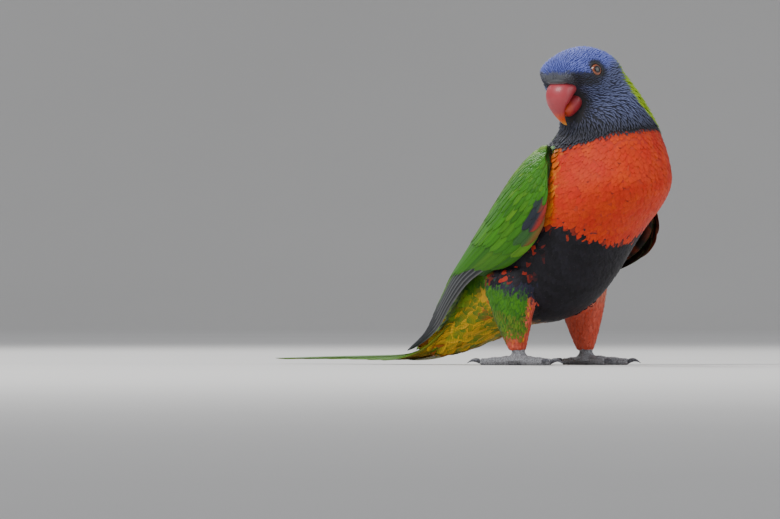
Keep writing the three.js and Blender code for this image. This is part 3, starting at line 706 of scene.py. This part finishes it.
def grid_faces(count, rows, cols):
    i, j = grid(np.arange(rows - 1), np.arange(cols - 1))
    corner = i * cols + j
    one = np.stack([corner, corner + 1, corner + cols + 1, corner + cols], -1).reshape(-1, 4)
    return (one[None] + (np.arange(count) * rows * cols)[:, None, None]).reshape(-1, 4)


def unwrap(p):
    """The place of points on an unwrap of the skin: round it and along it."""
    t, _ = trunk_place(p)
    centre, _, _, _, aside = trunk_station(t)
    angle = np.arctan2(p[:, 0] - aside, -(p[:, 1] - centre[:, 0]) + (p[:, 2] - centre[:, 1]) * -0.5)
    h = to_head(p)
    on_head = np.linalg.norm(h, axis=1) < 21
    head_uv = np.stack([0.5 + np.arctan2(h[:, 1], h[:, 2]) / (2 * math.pi), 0.5 + h[:, 0] / 60], 1)
    body_uv = np.stack([0.5 + angle / (2 * math.pi), t], 1)
    head_uv = head_uv * [0.94, 0.24] + [0.03, 0.74]
    return np.where(on_head[:, None], head_uv, body_uv * [0.94, 0.68] + [0.03, 0.03])


def feather_uv(count):
    """Along and across each body feather, both from 0 to 1."""
    s, w = grid(STEPS, np.linspace(0, 1, len(ACROSS)))
    return np.tile(np.stack([w, s], -1).reshape(-1, 2), (count, 1))


def coat_piece(name, slot, material, surface, p, n):
    heading = lie(p, n)
    across = np.cross(n, heading)
    hooded = p[:, 2] > breast_edge(p)
    sway = random.normal(0, 1, len(p)) * np.where(hooded, 0.13, 0.2)
    heading = unit(heading + across * sway[:, None])
    length, width, _ = sizes(p)
    length = length * random.uniform(0.82, 1.15, len(p))
    width = width * random.uniform(0.85, 1.12, len(p))
    tips = np.where(hooded, 0.6, 0.26) * random.uniform(0.7, 1.25, len(p))
    seam = (1 - soft(np.abs(before_wing(p) - 0.5), 1, 4)) * soft(p[:, 2], 62, 72) * ~hooded
    tips = mix(tips, 1.6, seam)
    t, _ = trunk_place(p)
    shaft, up = lay_coat(surface, p, n, heading, length, width, tips)
    profile = np.where(hooded[:, None], POINTED, ROUND)
    points = vane_points(shaft, up, width, profile, width * np.where(hooded, 0.1, 0.02))

    base, pale = markings(p)
    under = (t > 0.73) & ~hooded
    shade = 1 + random.uniform(-1, 1, (len(p), 1)) * np.where(hooded, 0.12, 0.07)[:, None]
    w = np.abs(ACROSS)
    stripe = np.where(under[:, None], 1 - soft(w, 0.45, 0.8), (1 - w) ** 1.3)
    strength = np.where(hooded, 0.85, np.where(under, 0.95, 0.2))
    streak = strength[:, None, None] * stripe[:, None] * (0.3 + 0.7 * STEPS)[None, :, None]
    # Each feather is painted darker towards its root, more under the hood: painted shade where the feathers
    # above cover it.
    root = mix(np.where(hooded, 0.6, 0.85)[:, None], 1, soft(STEPS, 0.1, 0.7)[None])[..., None, None]
    colours = mix(base[:, None, None], pale[:, None, None], streak[..., None]) * shade[:, None, None] * root
    barred = (~hooded) & (random.random(len(p)) < 0.012) & (p[:, 2] > 84)
    colours[barred, -1] = COLOUR["bar"]

    piece = make(name, points.reshape(-1, 3), grid_faces(len(p), len(STEPS), len(ACROSS)))
    paint(piece, colours.reshape(-1, 3))
    uv = feather_uv(len(p))
    lay_uv(piece, "Barbs", uv)
    places = np.repeat(unwrap(p), len(STEPS) * len(ACROSS), axis=0)
    lay_uv(piece, "OFBake", places + (uv - 0.5) * 0.003)
    return place(piece, slot, material)


# Long feathers of the wings and tail

def wing_points(u, v, wing, lift):
    """Points of a wing's outer face, u along it from the shoulder and v across it from its upper edge."""
    side, droop, flare = wing
    u, v, lift = np.broadcast_arrays(u, v, lift)
    upper, lower = along(WING_UPPER, u), along(WING_LOWER, u)
    loose = np.sin(math.pi * np.minimum(1, u / 0.7) ** 0.6) * np.maximum(v, 0) ** 1.5
    y = mix(upper[..., 0], lower[..., 0], v) - 0.75 * droop * loose
    z = mix(upper[..., 1], lower[..., 1], v) - 0.66 * droop * loose
    a, b, c = (along(list_, u)[..., 0] for list_ in (WING_OUT_UPPER, WING_OUT_MIDDLE, WING_OUT_LOWER))
    bow = a * (1 - v) * (1 - 2 * v) + 4 * b * v * (1 - v) + c * v * (2 * v - 1)
    body = trunk_side(y, z)
    out = np.where(body > 0, np.maximum(bow, body + WING_CLEAR), bow)
    return np.stack([side * (out + flare * loose + lift), y, z], -1)


def wing_chord(u):
    """How wide the wing is at u, and wider near the shoulder, where feathers keep within its edges."""
    chord = np.linalg.norm(along(WING_UPPER, u) - along(WING_LOWER, u), axis=-1)
    return np.maximum(chord, 34 - 60 * np.asarray(u))


def long_profile(s, point):
    """The width of a long feather along it, with a round or a drawn-out tip."""
    past = np.maximum((s - (1 - point)) / point, 0)
    return np.minimum(1, 0.55 + 1.6 * s) * np.maximum(1 - past**2.2, 0.0) ** 0.5


def feather_shell(at, half, thick, point):
    """A thin closed feather. at(s, w, lift) gives points at s along it, w millimetres off its shaft."""
    s = 1 - (1 - np.linspace(0, 1, LONG_ROWS)) ** 1.35
    s[-1] = 0.995
    w = np.linspace(-1, 1, LONG_COLS)
    S, W = grid(s, w)
    wide = W * half * np.maximum(long_profile(S, point), 0.06)
    back = S - 0.03 * W**2 * S
    dome = 0.35 * (1 - W**2)
    top = at(back, wide, dome)
    bottom = at(back, wide, dome - thick * (1 - 0.6 * S))
    return np.concatenate([top, bottom[:, ::-1]], 1), S, W


def long_piece(name, slot, material, feathers):
    """One piece from a list of (rings, top colours, bottom colours)."""
    rows, cols, n = LONG_ROWS, LONG_COLS, 2 * LONG_COLS
    points = np.concatenate([rings.reshape(-1, 3) for rings, _, _ in feathers])
    one = loft_faces(rows, n)
    faces = [[i + k * rows * n for i in f] for k in range(len(feathers)) for f in one]
    sheets = [np.concatenate([top, low[:, ::-1]], 1) for _, top, low in feathers]
    colours = np.concatenate([sheet.reshape(-1, 3) for sheet in sheets])
    piece = make(name, points, faces)
    paint(piece, colours)
    s, k = grid(np.linspace(0, 1, rows), np.arange(n))
    across = np.where(k < cols, k, 2 * cols - 1 - k) / (cols - 1)
    one_uv = np.stack([across, s], -1).reshape(-1, 2)
    lay_uv(piece, "Barbs", np.tile(one_uv, (len(feathers), 1)))
    per_row = math.ceil(math.sqrt(len(feathers)))
    cell = 1 / per_row
    under = (k >= cols).reshape(-1, 1) * [0.5, 0]
    patch = one_uv * [0.42, 0.9] + [0.04, 0.05] + under
    cells = [(patch + [i % per_row, i // per_row]) * cell for i in range(len(feathers))]
    lay_uv(piece, "OFBake", np.concatenate(cells))
    return place(piece, slot, material)


def wing_feather(wing, root, tip, half, thick, rise, point, shingle=0.5):
    def at(s, w, lift):
        u = mix(root[0], tip[0], s)
        v = mix(root[1], tip[1], s) + w / wing_chord(u)
        return wing_points(u, v, wing, mix(rise[0], rise[1], s) + lift + shingle * w / half)

    return feather_shell(at, half, thick, point)


def tint(colour, amount, shape):
    return np.ones(shape + (1,)) * colour * amount


def green_web(S, W, p, seed):
    """Colours of a green feather: lighter near the wing's upper edge, dark along its shaft and inner web, and
    darker near its root, which is painted shade where the feathers above cover it.
    """
    r = np.random.default_rng(seed)
    base = tint(COLOUR["green"], r.uniform(0.85, 1.15), S.shape)
    light = np.clip(0.55 * (1 - soft(p, 0.0, 0.3)) + 0.12 * r.normal(), 0, 1)
    base = mix(base, COLOUR["green_pale"], light)
    # Dark along the shaft and the inner web, painted shade at the covered root, and a random amount more.
    dark = 0.35 * soft(-W, 0.0, 0.9) + 0.3 * np.exp(-((W / 0.12) ** 2)) + 0.3 * (1 - soft(S, 0.0, 0.7))
    return mix(base, COLOUR["green_dark"], (dark + np.clip(r.normal(0.06, 0.2), 0, 0.5))[..., None])


def grey_web(S, W, green):
    """Colours of a primary: dark grey with pale rims, its outer web green as far as green along it."""
    rims = 0.75 * soft(np.abs(W), 0.78, 1.0)
    base = mix(tint(COLOUR["grey"], 1, S.shape), COLOUR["grey_pale"], rims[..., None])
    return mix(base, COLOUR["green"], (soft(-W, -0.2, 0.1) * (1 - soft(S, green - 0.12, green)))[..., None])


def make_wing(name, material):
    wing = WINGS[name]
    long, coverts = [], []
    for number, (count, roots, tips, across, half, rise, point) in enumerate(TIERS):
        for k in range(count):
            f = k / (count - 1)
            v = mix(*across, f) + random.normal(0, 0.008)
            root, tip = mix(*roots, f), mix(*tips, f) + random.normal(0, 0.007)
            rings, S, W = wing_feather(wing, (root, v), (tip, v), half, 0.22, rise, point, 0.3)
            top = green_web(S, W, v, 100 * number + k)
            hem = soft(number, 4.2, 5.2) * (1 - soft(number, 7.5, 8.5))
            top = mix(top, COLOUR["slate"], hem * soft(v, 0.8, 0.88))
            top = mix(top, COLOUR["flank"], (0.6 * hem * soft(v, 0.93, 0.95) * soft(W, 0.2, 0.5))[..., None])
            rusty = random.uniform(0, 0.8) * (np.abs(W) > 0.5)[..., None]
            low = mix(tint(COLOUR["lining"], 1, S.shape), COLOUR["rust"], rusty)
            (long if number == FLIGHT_TIER else coverts).append((rings, top, low))
    for k in range(PRIMARIES["count"]):
        f = k / (PRIMARIES["count"] - 1)
        root = (PRIMARIES["root"], mix(*PRIMARIES["from"], f))
        tip = (mix(*PRIMARIES["tip"], f), mix(*PRIMARIES["to"], f))
        rings, S, W = wing_feather(wing, root, tip, PRIMARIES["half"], 0.3, (-1.0, 0.1), 0.25, 0.45)
        top = mix(grey_web(S, W, 0.6 - 0.2 * f), green_web(S, W, 0.2, k), 0.95 * soft(f, 0.5, 0.75))
        long.append((rings, top, tint(COLOUR["grey"], 1.3, S.shape)))
    long_piece("wing_" + name + "_flight", "wing_feather", material, long)
    return long_piece("wing_" + name + "_coverts", "wing_feather", material, coverts)


def make_wing_bed(name, material):
    """The wing's flesh and lining, a thin slab under its feathers."""
    wing = WINGS[name]
    u = np.linspace(0.015, 0.62, 40)
    v = np.linspace(0.03, 0.96, 15)
    U, V = grid(u, v)
    depth = 3.3 * (1 - 0.6 * (U - 0.015) / 0.6)
    share = np.minimum(1, 0.3 + 5 * np.minimum(V - 0.03, 0.96 - V))
    top, bottom = wing_points(U, V, wing, -0.7), wing_points(U, V, wing, -0.7 - depth * share)
    rings = np.concatenate([top, bottom[:, ::-1]], 1)
    piece = tube("wing_" + name + "_bed", rings)
    flecks = 0.9 * soft(wobble(bottom.reshape(-1, 3), 3, 31), 0.25, 0.7).reshape(U.shape)[..., None]
    lining = mix(tint(COLOUR["lining"], 1, U.shape), COLOUR["rust"], flecks)
    colours = np.concatenate([tint(COLOUR["green_dark"], 1, U.shape), lining[:, ::-1]], 1)
    paint(piece, colours.reshape(-1, 3))
    i, k = grid(np.arange(40), np.arange(30))
    uv = np.stack([(k + 0.5) / 30, (i + 0.5) / 40], -1).reshape(-1, 2)
    lay_uv(piece, "Barbs", uv * [8, 16])
    lay_uv(piece, "OFBake", uv)
    return place(piece, "wing_feather", material, "wing_" + name)


def tail_points(s, x, lift):
    line = along(TAIL_LINE, s)
    tangent = unit(along(TAIL_LINE, np.minimum(s + 0.01, 1)) - along(TAIL_LINE, np.maximum(s - 0.01, 0)))
    return np.stack([x, line[..., 0] - tangent[..., 1] * lift, line[..., 1] + tangent[..., 0] * lift], -1)


def make_tail(material):
    feathers = []
    for k in range(TAIL["pairs"]):
        for side in (-1, 1):
            reach = 1 - TAIL["shorter"] * k

            def at(s, w, lift):
                x = side * TAIL["spread"] * (k + 0.6) * (0.75 + 0.35 * s) + w
                height = TAIL["top"] - TAIL["step"] * k * (1 - 0.35 * s * reach)
                height = height - 0.25 * side * w / TAIL["half"]
                height = height + (0.25 if side < 0 and k == 0 else 0)
                p = tail_points(s * reach, x, height + lift)
                p[..., 2] = np.maximum(p[..., 2], 0.05)
                return p

            rings, S, W = feather_shell(at, TAIL["half"] * (1 - 0.03 * k), 0.4, 0.42)
            inner = soft(-side * W, -0.1, 0.3) * (1 - soft(S, 0.75, 0.9)) * (0 if k == 0 else 1)
            green = green_web(S, side * W, 0.5, 900 + 2 * k + (side > 0))
            top = mix(green, COLOUR["vent"], (0.7 * inner)[..., None])
            low = mix(tint(COLOUR["olive"], 1, S.shape), COLOUR["vent"], (0.6 * inner)[..., None])
            feathers.append((rings, top, low))
    tail = long_piece("tail_feathers", "tail_feather", material, feathers)
    return place(tail, "tail_feather", material, "tail")


# Bill, cere, eyes and lids

def mandible(name, ridge, edge, halves, flat, sides=40, rings=60):
    t = np.linspace(0, 1, rings)
    a, b, half = along(ridge, t), along(edge, t), along(halves, t)[:, 0]
    angle = 2 * math.pi * (np.arange(sides) + 0.5) / sides
    c = np.cos(angle)
    q = np.where(c > 0, c * (1 - flat) + flat, flat + c * flat)
    xz = b[:, None] + (a - b)[:, None] * q[:, None]
    side = np.sign(np.sin(angle)) * np.abs(np.sin(angle)) ** np.where(c < 0, 0.4, 1)
    points = np.stack([xz[..., 0], half[:, None] * side, xz[..., 1]], -1)
    return make(name, from_head(points.reshape(-1, 3)), loft_faces(rings, sides))


def make_bill(material):
    for name, piece in {
        "bill_upper": mandible("beak_upper", CULMEN, TOMIUM, BILL_HALF, 0.42),
        "bill_lower": mandible("beak_lower", LOWER_KEEL, LOWER_TOP, LOWER_HALF, 0.3),
    }.items():
        h = to_head(points_of(piece))
        tip = soft(-h[:, 2], 9, 14) if name == "bill_upper" else 0.7 * soft(h[:, 0], 13, 16)
        red, pink, orange, yellow = (COLOUR["bill_" + c] for c in ("red", "pink", "orange", "yellow"))
        # Red with some pink all over, and pinker towards the top of each mandible: the extra pink is a
        # painted sheen on the upper side.
        colour = mix(np.ones((len(h), 1)) * red, pink, (0.3 + 0.4 * soft(h[:, 2], -9, 2))[:, None])
        colour = layer(colour, orange, tip)
        colour = layer(colour, yellow, soft(-h[:, 2], 13.5, 17))
        colour = colour * (1 - 0.25 * soft(h[:, 0], 13, 8))[:, None]
        paint(piece, colour)
        place(piece, "bill", material, name)


def ball(name, centre, size, steps=(48, 72)):
    a, b = grid(np.linspace(0, math.pi, steps[0]), angles(steps[1]))
    sphere = np.stack([np.cos(a), np.sin(a) * np.cos(b), np.sin(a) * np.sin(b)], -1) * size
    return make(name, from_head((sphere + centre).reshape(-1, 3)), loft_faces(*steps))


def make_cere(material):
    cere = ball("cere_skin", CERE_AT, CERE_SIZE + 0.15)
    h = to_head(points_of(cere))
    mirrored = to_left(h)
    pit = 1 - soft(distance(mirrored, NOSTRIL_AT), NOSTRIL_RADIUS * 0.55, NOSTRIL_RADIUS * 1.4)
    h -= unit(h - CERE_AT) * (pit * 0.9)[:, None]
    cere.data.vertices.foreach_set("co", ((from_head(h) - BOX_CENTRE) * MM).ravel())
    grey = layer(np.ones((len(h), 1)) * COLOUR["cere"], COLOUR["cere_pale"], 1 - soft(h[:, 2], 3.9, 4.9))
    # The nostril's shallow pit is painted near-black: painted shade in the opening.
    paint(cere, layer(grey, COLOUR["nostril"], pit))
    place(cere, "cere", material, "cere")


def eye_rings(side, radii, heights, turns):
    """Rings of points round an eye's axis: how far off the axis each ring is and how far along it."""
    axis = eye_axis(side)
    across = unit(np.cross(axis, [0, 0, 1]))
    over = np.cross(across, axis)
    a = angles(turns)
    circle = across * np.cos(a)[:, None] + over * np.sin(a)[:, None]
    centre = EYE_AT * [1, side, 1]
    return centre + axis * np.asarray(heights)[..., None, None] + circle * np.asarray(radii)[..., None, None]


def make_eyes(eye_material, lid_material):
    for name, side in (("left", 1), ("right", -1)):
        off = np.concatenate([np.linspace(0.5, 60, 70), np.linspace(70, 179, 12)])
        cornea = 1 + 0.05 * (1 - soft(off, 20, 44))
        radii = EYE_RADIUS * np.sin(np.radians(off)) * cornea
        rings = eye_rings(side, radii, EYE_RADIUS * np.cos(np.radians(off)) * cornea, EYE_TURNS)
        eye = make("eyeball_" + name, from_head(rings.reshape(-1, 3)), loft_faces(len(off), EYE_TURNS))
        ray = 0.5 + 0.5 * np.sin(np.arange(EYE_TURNS) * 2 * math.pi / EYE_TURNS * 31)
        off, ray = np.repeat(off, EYE_TURNS), np.tile(ray, len(off))
        colour = np.ones((len(off), 1)) * COLOUR["iris"]
        colour = layer(colour, COLOUR["iris_ring"], (1 - soft(np.abs(off - 33), 1, 6)) * (0.6 + 0.4 * ray))
        colour = layer(colour, COLOUR["iris_inner"], (1 - soft(off, 23, 28)) * 0.8)
        colour = layer(colour, COLOUR["pupil"], 1 - soft(off, 22, 23.5))
        paint(eye, layer(colour, COLOUR["eye_rim"], soft(off, 40, 44)))
        place(eye, "eye", eye_material, "eye_" + name)

        b = angles(LID_ROUND)
        wrinkle = 1 + 0.14 * np.cos(np.arange(LID_TURNS) * 2 * math.pi / LID_TURNS * 27)
        radii, heights = LID["ring"] + LID["tube"] * np.cos(b), LID["out"] + LID["tube"] * np.sin(b)
        ring = eye_rings(side, radii, heights, LID_TURNS)
        middle = eye_rings(side, [LID["ring"]], [LID["out"]], LID_TURNS)
        ring = middle + (ring - middle) * wrinkle[:, None]
        i, k = grid(np.arange(LID_ROUND), np.arange(LID_TURNS))
        row, next_row = i * LID_TURNS, (i + 1) % LID_ROUND * LID_TURNS
        next_k = (k + 1) % LID_TURNS
        faces = np.stack([row + k, row + next_k, next_row + next_k, next_row + k], -1)
        lid = make("lid_" + name, from_head(ring.reshape(-1, 3)), faces.reshape(-1, 4)[:, ::side])
        paint(lid, np.ones((LID_ROUND * LID_TURNS, 1)) * COLOUR["lid"])
        place(lid, "cere", lid_material)


# Feet and claws

def toe_frame(heading, side):
    """Which way a toe points and which way lies across it."""
    a = math.radians(heading)
    direction = np.array([side * math.sin(a), -math.cos(a), 0])
    return direction, np.cross(direction, [0, 0, 1])


def toe(foot, side, heading, length, root):
    """A toe with scutes over its top and pads below, flat on the floor."""
    direction, across = toe_frame(heading, side)
    s, a = grid(np.linspace(-0.1, 1, 150), angles(40))
    top = soft(np.sin(a), -0.1, 0.5)
    scute = np.abs(np.sin(s * length * math.pi / 1.75)) ** 0.5
    pads = 0.5 + 0.5 * np.cos(s * 6 * math.pi)
    half = mix(root, 1.8, np.clip(s, 0, 1)) * (0.9 + 0.12 * pads)
    half = half + 0.2 * (scute - 1) * top
    half = half * np.sqrt(np.clip((1.045 - s) / 0.09, 0, 1))
    middle = foot + direction * (s * length)[..., None]
    z = mix(2.5, 1.6, np.clip(s, 0, 1)) + half * np.sin(a) * 0.95
    p = middle + across * (half * np.cos(a))[..., None]
    p[..., 2] = np.maximum(z, 0.02 + 0.03 * (1 + np.sin(40 * s)) * (z < 0))
    return p


def make_foot(name, side, foot, material):
    pieces = []
    for heading, length, root in TOES.values():
        pieces.append(tube("toe", toe(foot, side, heading, length, root)))
    t, a = grid(np.linspace(0, 1, 40), angles(48))
    half = mix(3.0, 6.0, soft(t, 0.4, 1)) + 0.16 * np.abs(np.sin(t * 5 * math.pi)) * (np.sin(a) < 0)
    ankle = foot + np.stack([half * np.cos(a), 0.6 - 0.9 * t + 1.1 * half * np.sin(a), 9.5 - 7.6 * t], -1)
    pieces.append(tube("ankle", ankle))
    t, a = grid(np.linspace(0, math.pi, 30), angles(48))
    height = np.maximum(2.4 + 3.3 * np.cos(t), 0.03)
    pad = foot + np.stack([4.6 * np.sin(t) * np.cos(a), 5 * np.sin(t) * np.sin(a), height], -1)
    pieces.append(tube("pad", pad))
    whole = join(pieces, "toes_" + name)
    apply_modifier(whole, "REMESH", mode="VOXEL", voxel_size=0.24 * MM, use_smooth_shade=True)
    apply_modifier(whole, "SMOOTH", factor=0.5, iterations=2)
    place(whole, "foot_skin", material, "foot_" + name)


def make_claw(name, side, foot, toe_name, material):
    heading, length, _ = TOES[toe_name]
    direction, across = toe_frame(heading, side)
    s, a = grid(np.linspace(0, 1, 24), angles(20))
    half = CLAW_HALF * (1 - 0.9 * s**1.3)
    middle = foot + direction * (length + 0.3 + CLAW_LENGTH * s)[..., None]
    p = middle + across * (0.9 * half * np.cos(a))[..., None]
    p[..., 2] = 1.9 + 0.9 * np.sin(s * math.pi * 0.9) - 1.2 * s**2 + 1.1 * half * np.sin(a)
    nail = tube("nail_" + name + "_" + toe_name, p)
    place(nail, "claw", material, "claw_" + name + "_" + toe_name)


def make_feet(foot_material, claw_material):
    for name, (side, foot) in FEET.items():
        make_foot(name, side, foot, foot_material)
        for toe_name in TOES:
            make_claw(name, side, foot, toe_name, claw_material)


# Materials

def new_material(name):
    material = bpy.data.materials.new(name)
    material.use_nodes = True
    nodes, links = material.node_tree.nodes, material.node_tree.links
    return material, nodes, links, nodes["Principled BSDF"]


def math_node(nodes, links, operation, *inputs):
    node = nodes.new("ShaderNodeMath")
    node.operation = operation
    for i, value in enumerate(inputs):
        if isinstance(value, (int, float)):
            node.inputs[i].default_value = value
        else:
            links.new(value, node.inputs[i])
    return node.outputs[0]


def noise(nodes, links, scale, detail=3.0):
    where = nodes.new("ShaderNodeTexCoord")
    node = nodes.new("ShaderNodeTexNoise")
    node.inputs["Scale"].default_value = scale
    node.inputs["Detail"].default_value = detail
    links.new(where.outputs["Object"], node.inputs["Vector"])
    return node.outputs["Fac"]


def tinted(nodes, links, shader, value, low, high):
    """The painted colour, made darker or brighter by a value between 0 and 1."""
    attribute = nodes.new("ShaderNodeAttribute")
    attribute.attribute_name = "Coat"
    scaled = nodes.new("ShaderNodeMapRange")
    scaled.inputs["To Min"].default_value = low
    scaled.inputs["To Max"].default_value = high
    links.new(value, scaled.inputs["Value"])
    bright = nodes.new("ShaderNodeVectorMath")
    bright.operation = "SCALE"
    links.new(attribute.outputs["Color"], bright.inputs[0])
    links.new(scaled.outputs["Result"], bright.inputs["Scale"])
    links.new(bright.outputs["Vector"], shader.inputs["Base Color"])


def bump(nodes, links, shader, height, strength, distance):
    node = nodes.new("ShaderNodeBump")
    node.inputs["Strength"].default_value = strength
    node.inputs["Distance"].default_value = distance
    links.new(height, node.inputs["Height"])
    links.new(node.outputs["Normal"], shader.inputs["Normal"])


def feather_material(name, barbs, strength, roughness=0.6, sheen=0.05):
    """Vanes with fine slanting barbs on both sides of the shaft."""
    material, nodes, links, shader = new_material(name)
    uv = nodes.new("ShaderNodeUVMap")
    uv.uv_map = "Barbs"
    split = nodes.new("ShaderNodeSeparateXYZ")
    links.new(uv.outputs["UV"], split.inputs[0])
    off = math_node(nodes, links, "ABSOLUTE", math_node(nodes, links, "SUBTRACT", split.outputs["X"], 0.5))
    lean = math_node(nodes, links, "MULTIPLY", off, 0.5)
    slant = math_node(nodes, links, "SUBTRACT", split.outputs["Y"], lean)
    grain = noise(nodes, links, 900)
    comb = math_node(nodes, links, "MULTIPLY", slant, barbs)
    phase = math_node(nodes, links, "ADD", comb, math_node(nodes, links, "MULTIPLY", grain, 3.0))
    wave = math_node(nodes, links, "MULTIPLY_ADD", math_node(nodes, links, "SINE", phase), 0.35, 0.5)
    value = math_node(nodes, links, "MULTIPLY", wave, math_node(nodes, links, "ADD", grain, 0.5))
    tinted(nodes, links, shader, value, 1 - strength, 1 + strength)
    shader.inputs["Roughness"].default_value = roughness
    shader.inputs["Sheen Weight"].default_value = sheen
    shader.inputs["Sheen Roughness"].default_value = 0.4
    shader.inputs["Specular IOR Level"].default_value = 0.22
    bump(nodes, links, shader, wave, 0.25, 0.0001)
    return material


def painted_material(name, scale, strength, roughness, coat=0.0, depth=0.0):
    """A painted surface with a little mottling and fine relief."""
    material, nodes, links, shader = new_material(name)
    grain = noise(nodes, links, scale, 5.0)
    tinted(nodes, links, shader, grain, 1 - strength, 1 + strength)
    shader.inputs["Roughness"].default_value = roughness
    shader.inputs["Coat Weight"].default_value = coat
    shader.inputs["Coat Roughness"].default_value = 0.05
    if depth:
        bump(nodes, links, shader, grain, 0.5, depth)
    return material


def scaly_material(name, low, high, scale, roughness, depth):
    """Small scales in two shades, with pale dust between them."""
    material, nodes, links, shader = new_material(name)
    where = nodes.new("ShaderNodeTexCoord")
    cells = nodes.new("ShaderNodeTexVoronoi")
    cells.feature = "DISTANCE_TO_EDGE"
    cells.inputs["Scale"].default_value = scale
    links.new(where.outputs["Object"], cells.inputs["Vector"])
    ramp = nodes.new("ShaderNodeValToRGB")
    ramp.color_ramp.elements[0].color = (*low, 1)
    ramp.color_ramp.elements[1].color = (*high, 1)
    ramp.color_ramp.elements[1].position = 0.12
    links.new(cells.outputs["Distance"], ramp.inputs["Fac"])
    links.new(ramp.outputs["Color"], shader.inputs["Base Color"])
    shader.inputs["Roughness"].default_value = roughness
    bump(nodes, links, shader, ramp.outputs["Color"], 0.7, depth)
    return material


# Floor, light and camera

def make_stage():
    """A wide round floor that rises into a wall beyond the camera."""
    reach, bend, height, sides = 6.5, 1.5, 1.0, 96
    turn = np.linspace(0, math.pi / 2, 16)
    radius = np.concatenate([[0.02, 0.6, 2.5], reach + bend * np.sin(turn), [reach + bend]])
    rise = np.concatenate([[0, 0, 0], bend * (1 - np.cos(turn)), [bend + height]])
    a = angles(sides)
    x, y = radius[:, None] * np.cos(a), radius[:, None] * np.sin(a)
    rings = np.stack([x, y, np.broadcast_to(rise[:, None], x.shape)], -1)
    faces = loft_faces(len(radius), sides)
    middle = [f for f in faces if len(f) > 4][:1]
    floor = make("floor", rings.reshape(-1, 3) / MM + BOX_CENTRE, [f for f in faces if len(f) == 4] + middle)
    material, nodes, links, shader = new_material("pale_floor")
    ramp = nodes.new("ShaderNodeValToRGB")
    for element, shade in zip(ramp.color_ramp.elements, FLOOR_SHADES):
        element.color = shade
    links.new(noise(nodes, links, 2.0), ramp.inputs["Fac"])
    links.new(ramp.outputs["Color"], shader.inputs["Base Color"])
    shader.inputs["Roughness"].default_value = 0.9
    floor.data.materials.append(material)


def make_light(name, azimuth, height, away, size, power):
    light = bpy.data.lights.new(name, "AREA")
    light.size, light.energy = size, power
    obj = bpy.data.objects.new(name, light)
    a = math.radians(azimuth)
    obj.location = (math.sin(a) * away, -math.cos(a) * away, height)
    obj.rotation_mode = "QUATERNION"
    obj.rotation_quaternion = (Vector((0, 0, 0.08)) - obj.location).to_track_quat("-Z", "Y")
    bpy.context.scene.collection.objects.link(obj)


def make_camera():
    a = math.radians(CAMERA_AZIMUTH)
    right = np.array([math.cos(a), math.sin(a), 0])
    toward = np.array([math.sin(a), -math.cos(a), 0])
    aim = right * CAMERA_AIM[0] + [0, 0, CAMERA_AIM[1]]
    eye = right * CAMERA_AIM[0] + toward * CAMERA_AWAY + [0, 0, CAMERA_UP]
    data = bpy.data.cameras.new("camera")
    data.lens = FOCAL / PICTURE_WIDTH * data.sensor_width
    data.clip_end = 50
    camera = bpy.data.objects.new("camera", data)
    camera.location = (eye - BOX_CENTRE) * MM
    camera.rotation_mode = "QUATERNION"
    camera.rotation_quaternion = Vector(aim - eye).to_track_quat("-Z", "Y")
    bpy.context.scene.collection.objects.link(camera)
    bpy.context.scene.camera = camera


def make_world():
    world = bpy.data.worlds.new("studio")
    world.use_nodes = True
    background = world.node_tree.nodes["Background"]
    background.inputs["Color"].default_value = SKY
    background.inputs["Strength"].default_value = SKY_STRENGTH
    bpy.context.scene.world = world


make_camera()
make_world()
make_stage()
for light_name, light in LIGHTS.items():
    make_light(light_name, *light)

vanes = feather_material("body_feathers", 60, 0.22)
long_vanes = feather_material("flight_feathers", 260, 0.2, 0.5, 0.03)
skin_paint = painted_material("feather_down", 700, 0.25, 0.8, 0.0, 0.0003)
horn = painted_material("bill_horn", 260, 0.14, 0.42, 0.12, 0.0001)
soft_grey = painted_material("bare_skin", 900, 0.25, 0.6, 0.0, 0.0002)
wet_eye = painted_material("wet_eye", 1500, 0.12, 0.2, 0.5)
foot_scales = scaly_material("foot_scales", COLOUR["foot"], COLOUR["foot_dust"], 900, 0.75, 0.0003)
claw_horn = scaly_material("claw_horn", COLOUR["claw"], COLOUR["claw_pale"], 500, 0.4, 0.0001)

skin = make_skin()
skin_points = points_of(skin)
hooded = skin_points[:, 2] > breast_edge(skin_points)
# The skin takes the coat's colours painted darker, to half under the hood: painted shade in the gaps between
# the feathers.
paint(skin, markings(skin_points)[0] * np.where(hooded, 0.5, 0.85)[:, None])
lay_uv(skin, "OFBake", unwrap(skin_points))
place(skin, "breast_feather", skin_paint, "head", "neck", "torso", "thigh_left", "thigh_right")

polygons = [tuple(f.vertices) for f in skin.data.polygons]
surface = BVHTree.FromPolygons([Vector(p) for p in skin_points], polygons)
roots, normals = scatter(skin, ROOTS_TRIED)
feathered = ~bare(roots)
roots, normals = roots[feathered], normals[feathered]
leg_share = leg_of(roots)[0] > 0
height = roots[:, 2]
body, front = ~leg_share & (height <= NECK_FROM), trunk_place(roots)[1] > 0
zones = {
    "coat_head": ("blue_feather", height > HEAD_FROM),
    "coat_neck": ("blue_feather", (height <= HEAD_FROM) & (height > NECK_FROM)),
    "coat_legs": ("thigh_feather", leg_share & (height <= NECK_FROM)),
    "coat_front": ("breast_feather", body & front),
    "coat_rear": ("wing_feather", body & ~front),
}
for name, (slot, chosen) in zones.items():
    coat_piece(name, slot, vanes, surface, roots[chosen], normals[chosen])

for wing_name in WINGS:
    make_wing_bed(wing_name, long_vanes)
    make_wing(wing_name, long_vanes)
make_tail(long_vanes)
make_bill(horn)
make_cere(soft_grey)
make_eyes(wet_eye, soft_grey)
make_feet(foot_scales, claw_horn)
